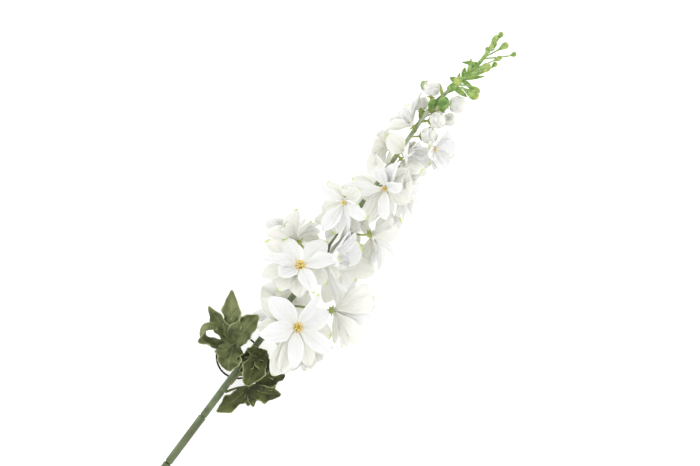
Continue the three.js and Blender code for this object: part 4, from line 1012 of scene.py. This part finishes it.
def makeLeaf(number, row):
    name, at, face, root, lobes = row
    shell = newShell()
    axes = axesOf(face)
    hub = np.array(at, float)
    outline = np.array(leaf["outline"])
    dice = np.random.default_rng(500 + number)
    for k, (turn, length, width, rootAngle, tipAngle, *rest) in enumerate(lobes):
        fold, leaning = (rest + [0.3, 0][len(rest):])[:2]
        draw = [0] + [vary(60 + number, k * 7 + n) * 2 - 1 for n in range(1, 4)]
        start, end = math.radians(rootAngle), math.radians(tipAngle)
        phases = dice.random(6) * 2 * math.pi

        def relief(s, t, half):
            # buckles: sines along the rib that grow towards the rim, a pressed midrib, and slanting veins
            rim = np.abs(t) ** 1.6 * (np.sin(2 * math.pi * 2.1 * s + phases[0] + 1.4 * np.sign(t))
                                      + 0.5 * np.sin(2 * math.pi * 4.3 * s + phases[1] - 2 * t))
            folds = 0.6 * np.sin(2 * math.pi * 0.9 * s + phases[2] + 4.4 * t)
            veins = 0.12 * np.abs(t) * np.sin(44 * s - 21 * np.abs(t))
            midrib = 0.55 * np.exp(-np.abs(t) / 0.1) * (1 - 0.6 * s)
            return leaf["crumple"] * half * (rim + folds * ease(s, 0.1, 0.4)) + veins - midrib

        smooth = bladeSheet(
            hub, axes, math.radians(turn), length, (-1.5, 0), relief=relief,
            angleAt=lambda s: start + (end - start) * s * s,
            halfWidthAt=lambda s: width / 2 * np.interp(s, outline[:, 0], outline[:, 1]),
            cup=fold + 0.14 * draw[1], twist=0.25 * draw[2], sway=0.05 * draw[3],
            lean=math.radians(leaning))

        def toothed(s, t):
            # the rim runs in and out by two sines along the rib, apart on its two sides
            s, t = np.broadcast_arrays(s, t)
            notch = 0.62 * np.sin(2 * math.pi * 2.2 * s + phases[3] + 1.9 * np.sign(t))
            notch = notch + 0.38 * np.sin(2 * math.pi * 4.7 * s + phases[4] - 1.2 * np.sign(t))
            return smooth(s, t * (1 + leaf["teeth"] * notch * t * t * ease(s, 0.08, 0.3)))

        # pale rim band along the cut edge, partly a painted highlight
        rim = lambda s, t: np.maximum(ease(np.abs(t), 0.88, 0.97), ease(s, 0.95, 1.0)) * ease(s, 0.2, 0.5)
        addBlade(shell, toothed, *leaf["grid"], leaf["thickness"], rim, 0.02)
    end = hub - 0.3 * axes[0]
    middle = (np.array(root) + end) / 2 + [2.5, 0, 0]
    radii = np.linspace(*leaf["petioleRadii"], 16)
    addBar(shell, smoothLine([root, middle, end], 16), radii, 12, 0.35)
    # the upper leaf takes the velvet painted as lit, the others the one painted as shaded
    cloth = litPaintedLeafVelvet if name == "leaf_upper" else shadePaintedLeafVelvet
    makePiece("leafCloth_" + name[5:], shell, cloth, [name])


for number, row in enumerate(leaf["list"]):
    makeLeaf(number, row)
print("leaves ready")


# Jointed lower stem, its wire core and the cord ring
stem = {
    "wireRadius": 1.05,
    "wireLength": 238,
    "wireBore": 1.4,  # radius of the hole that the wire is in
    "spigotRadius": 2.4,
    "spigotLength": 5,
    "socketRadius": 2.75,
    "neckGap": 1.2,  # from a sleeve's mouth to the next one's shoulder
    "ribs": 12,
    "ribDepth": 0.012,  # half of it, as a share of the radius
}


def makeSection(number):
    # a surface of revolution: the section's outline, carried round the stem's axis, with fine ribs
    # drawn out along its length
    start, end = spray["joints"][number - 1:number + 1]
    r, spigot, socket, bore = (spray["bodyRadius"], stem["spigotRadius"], stem["socketRadius"],
                               stem["wireBore"])
    foot = start - stem["spigotLength"] if number > 1 else start
    mouth = end - stem["neckGap"]
    floor = end - stem["spigotLength"] - 0.35
    lower = [(spigot - 0.3, foot), (spigot, foot + 0.3), (spigot, start - 0.1), (spigot + 0.15, start),
             (r - 0.45, start), (r - 0.25, start + 0.1), (r - 0.12, start + 0.45), (r, start + 1.5)]
    if number == 1:
        lower = [(r - 0.25, foot), (r - 0.08, foot + 0.08), (r, foot + 0.3)]
    body = [(r, x) for x in np.linspace(lower[-1][1] + 2, mouth - 4, 24)]
    upper = [(r + 0.05, mouth - 3), (r + 0.16, mouth - 1.2), (r + 0.2, mouth - 0.4),
             (r + 0.14, mouth - 0.1), (r + 0.02, mouth), (socket + 0.12, mouth),
             (socket, mouth - 0.15), (socket, floor), (bore, floor)]
    outline, x = np.array([(bore, foot)] + lower + body + upper + [(bore, foot + 1)]).T
    turn = np.arange(72) / 72 * 2 * math.pi
    onBody = (abs(outline - r) < 0.02).astype(float)
    ribs = stem["ribDepth"] * (1 - np.cos(stem["ribs"] * turn)[:, None])
    radius = outline * (1 - onBody * ribs)
    rings = np.stack(np.broadcast_arrays(
        x, np.cos(turn)[:, None] * radius, np.sin(turn)[:, None] * radius), -1)
    shell = newShell()
    addSkin(shell, rings, np.zeros(2), 0.8 * (outline < r - 0.3), closed=True)
    makePiece("stemSleeve_%d" % number, shell, stemPlastic, ["stem_section_%d" % number])


for number in range(1, len(spray["joints"])):
    makeSection(number)
wire = newShell()
x = np.concatenate([[0, 0.15], np.linspace(2, stem["wireLength"], 12)])
radii = np.concatenate([[stem["wireRadius"] - 0.15], np.full(13, stem["wireRadius"])])
addBar(wire, np.stack([x, 0 * x, 0 * x], -1), radii, 28)
makePiece("wireCore", wire, wireSteel, ["stem_wire"])
print("stem ready")


loop = {
    "radius": 18.7,
    "cord": 0.9,  # radius of the cord
    "middle": [235, 6.5, -4.3],
    "strands": 3,
    "twists": 46,
    "swell": 0.07,  # share of the cord's radius by which the strands stand out
}


def makeLoop():
    # a ring whose round section swells by the cosine of the strands' turn, which winds along the ring
    around = np.arange(420)[:, None] / 420 * 2 * math.pi
    turn = np.arange(15) / 15 * 2 * math.pi
    lay = loop["strands"] * turn - loop["twists"] * around
    radius = loop["cord"] * (1 - loop["swell"] + loop["swell"] * np.cos(lay))
    out = loop["radius"] + radius * np.cos(turn)
    ring = np.stack([np.cos(around) * out, np.sin(around) * out, radius * np.sin(turn)], -1)
    shell = newShell()
    addSkin(shell, ring + loop["middle"], np.zeros(2), 0.0, closed=True)
    makePiece("cordRing", shell, cordBlack, ["tag_loop"])


makeLoop()
print("cord ring ready")


# Table and light
studio = {
    "table": "#fbfbfb",
    "glow": 0.34,  # the board is lit a little from below, as on a light table
    "sky": "#fbfbfd",
    "dome": 1.085,
    "tableWidth": 8,  # metres
    "lights": {  # place, size, power and colour
        "key": ((-0.9, 2.0, 1.3), 0.8, 6, "#fafbff"),
        "fill": ((1.4, -1.2, 1.8), 1.8, 2, "#fbfcff"),
    },
}


def makeTable():  # a flat board of 4 x 4 squares, 0.3 mm below the pieces
    side = np.linspace(-0.5, 0.5, 5) * studio["tableWidth"]
    x, y = np.meshgrid(side, side, indexing="ij")
    points = np.stack([x, y, np.full_like(x, -0.0003)], -1).reshape(-1, 3)
    corner = np.arange(25).reshape(5, 5)
    faces = np.stack([corner[:-1, :-1], corner[1:, :-1], corner[1:, 1:], corner[:-1, 1:]], -1)
    mesh = bpy.data.meshes.new("table")
    mesh.from_pydata(points.tolist(), [], faces.reshape(-1, 4).tolist())
    mesh.materials.append(makeMaterial(
        "opalBoard", Base_Color=srgb(studio["table"]), Roughness=0.9, Emission_Color=(1, 1, 1, 1),
        Emission_Strength=studio["glow"]))
    table = bpy.data.objects.new("table", mesh)
    bpy.context.scene.collection.objects.link(table)


def addLight(name, place, size, power, colour):  # a round lamp turned to the camera's middle
    data = bpy.data.lights.new(name, "AREA")
    data.shape = "DISK"
    data.size = size
    data.energy = power
    data.color = srgb(colour)[:3]
    light = bpy.data.objects.new(name, data)
    light.location = place
    light.rotation_mode = "QUATERNION"
    towards = Vector(camera["middle"]) - light.location
    light.rotation_quaternion = towards.to_track_quat("-Z", "Y")
    light.visible_camera = False
    bpy.context.scene.collection.objects.link(light)


makeTable()
for name, lamp in studio["lights"].items():
    addLight(name, *lamp)
world = bpy.data.worlds.new("studio")
world.use_nodes = True
world.node_tree.nodes["Background"].inputs[0].default_value = srgb(studio["sky"])
world.node_tree.nodes["Background"].inputs[1].default_value = studio["dome"]
bpy.context.scene.world = world
print("table and light ready")
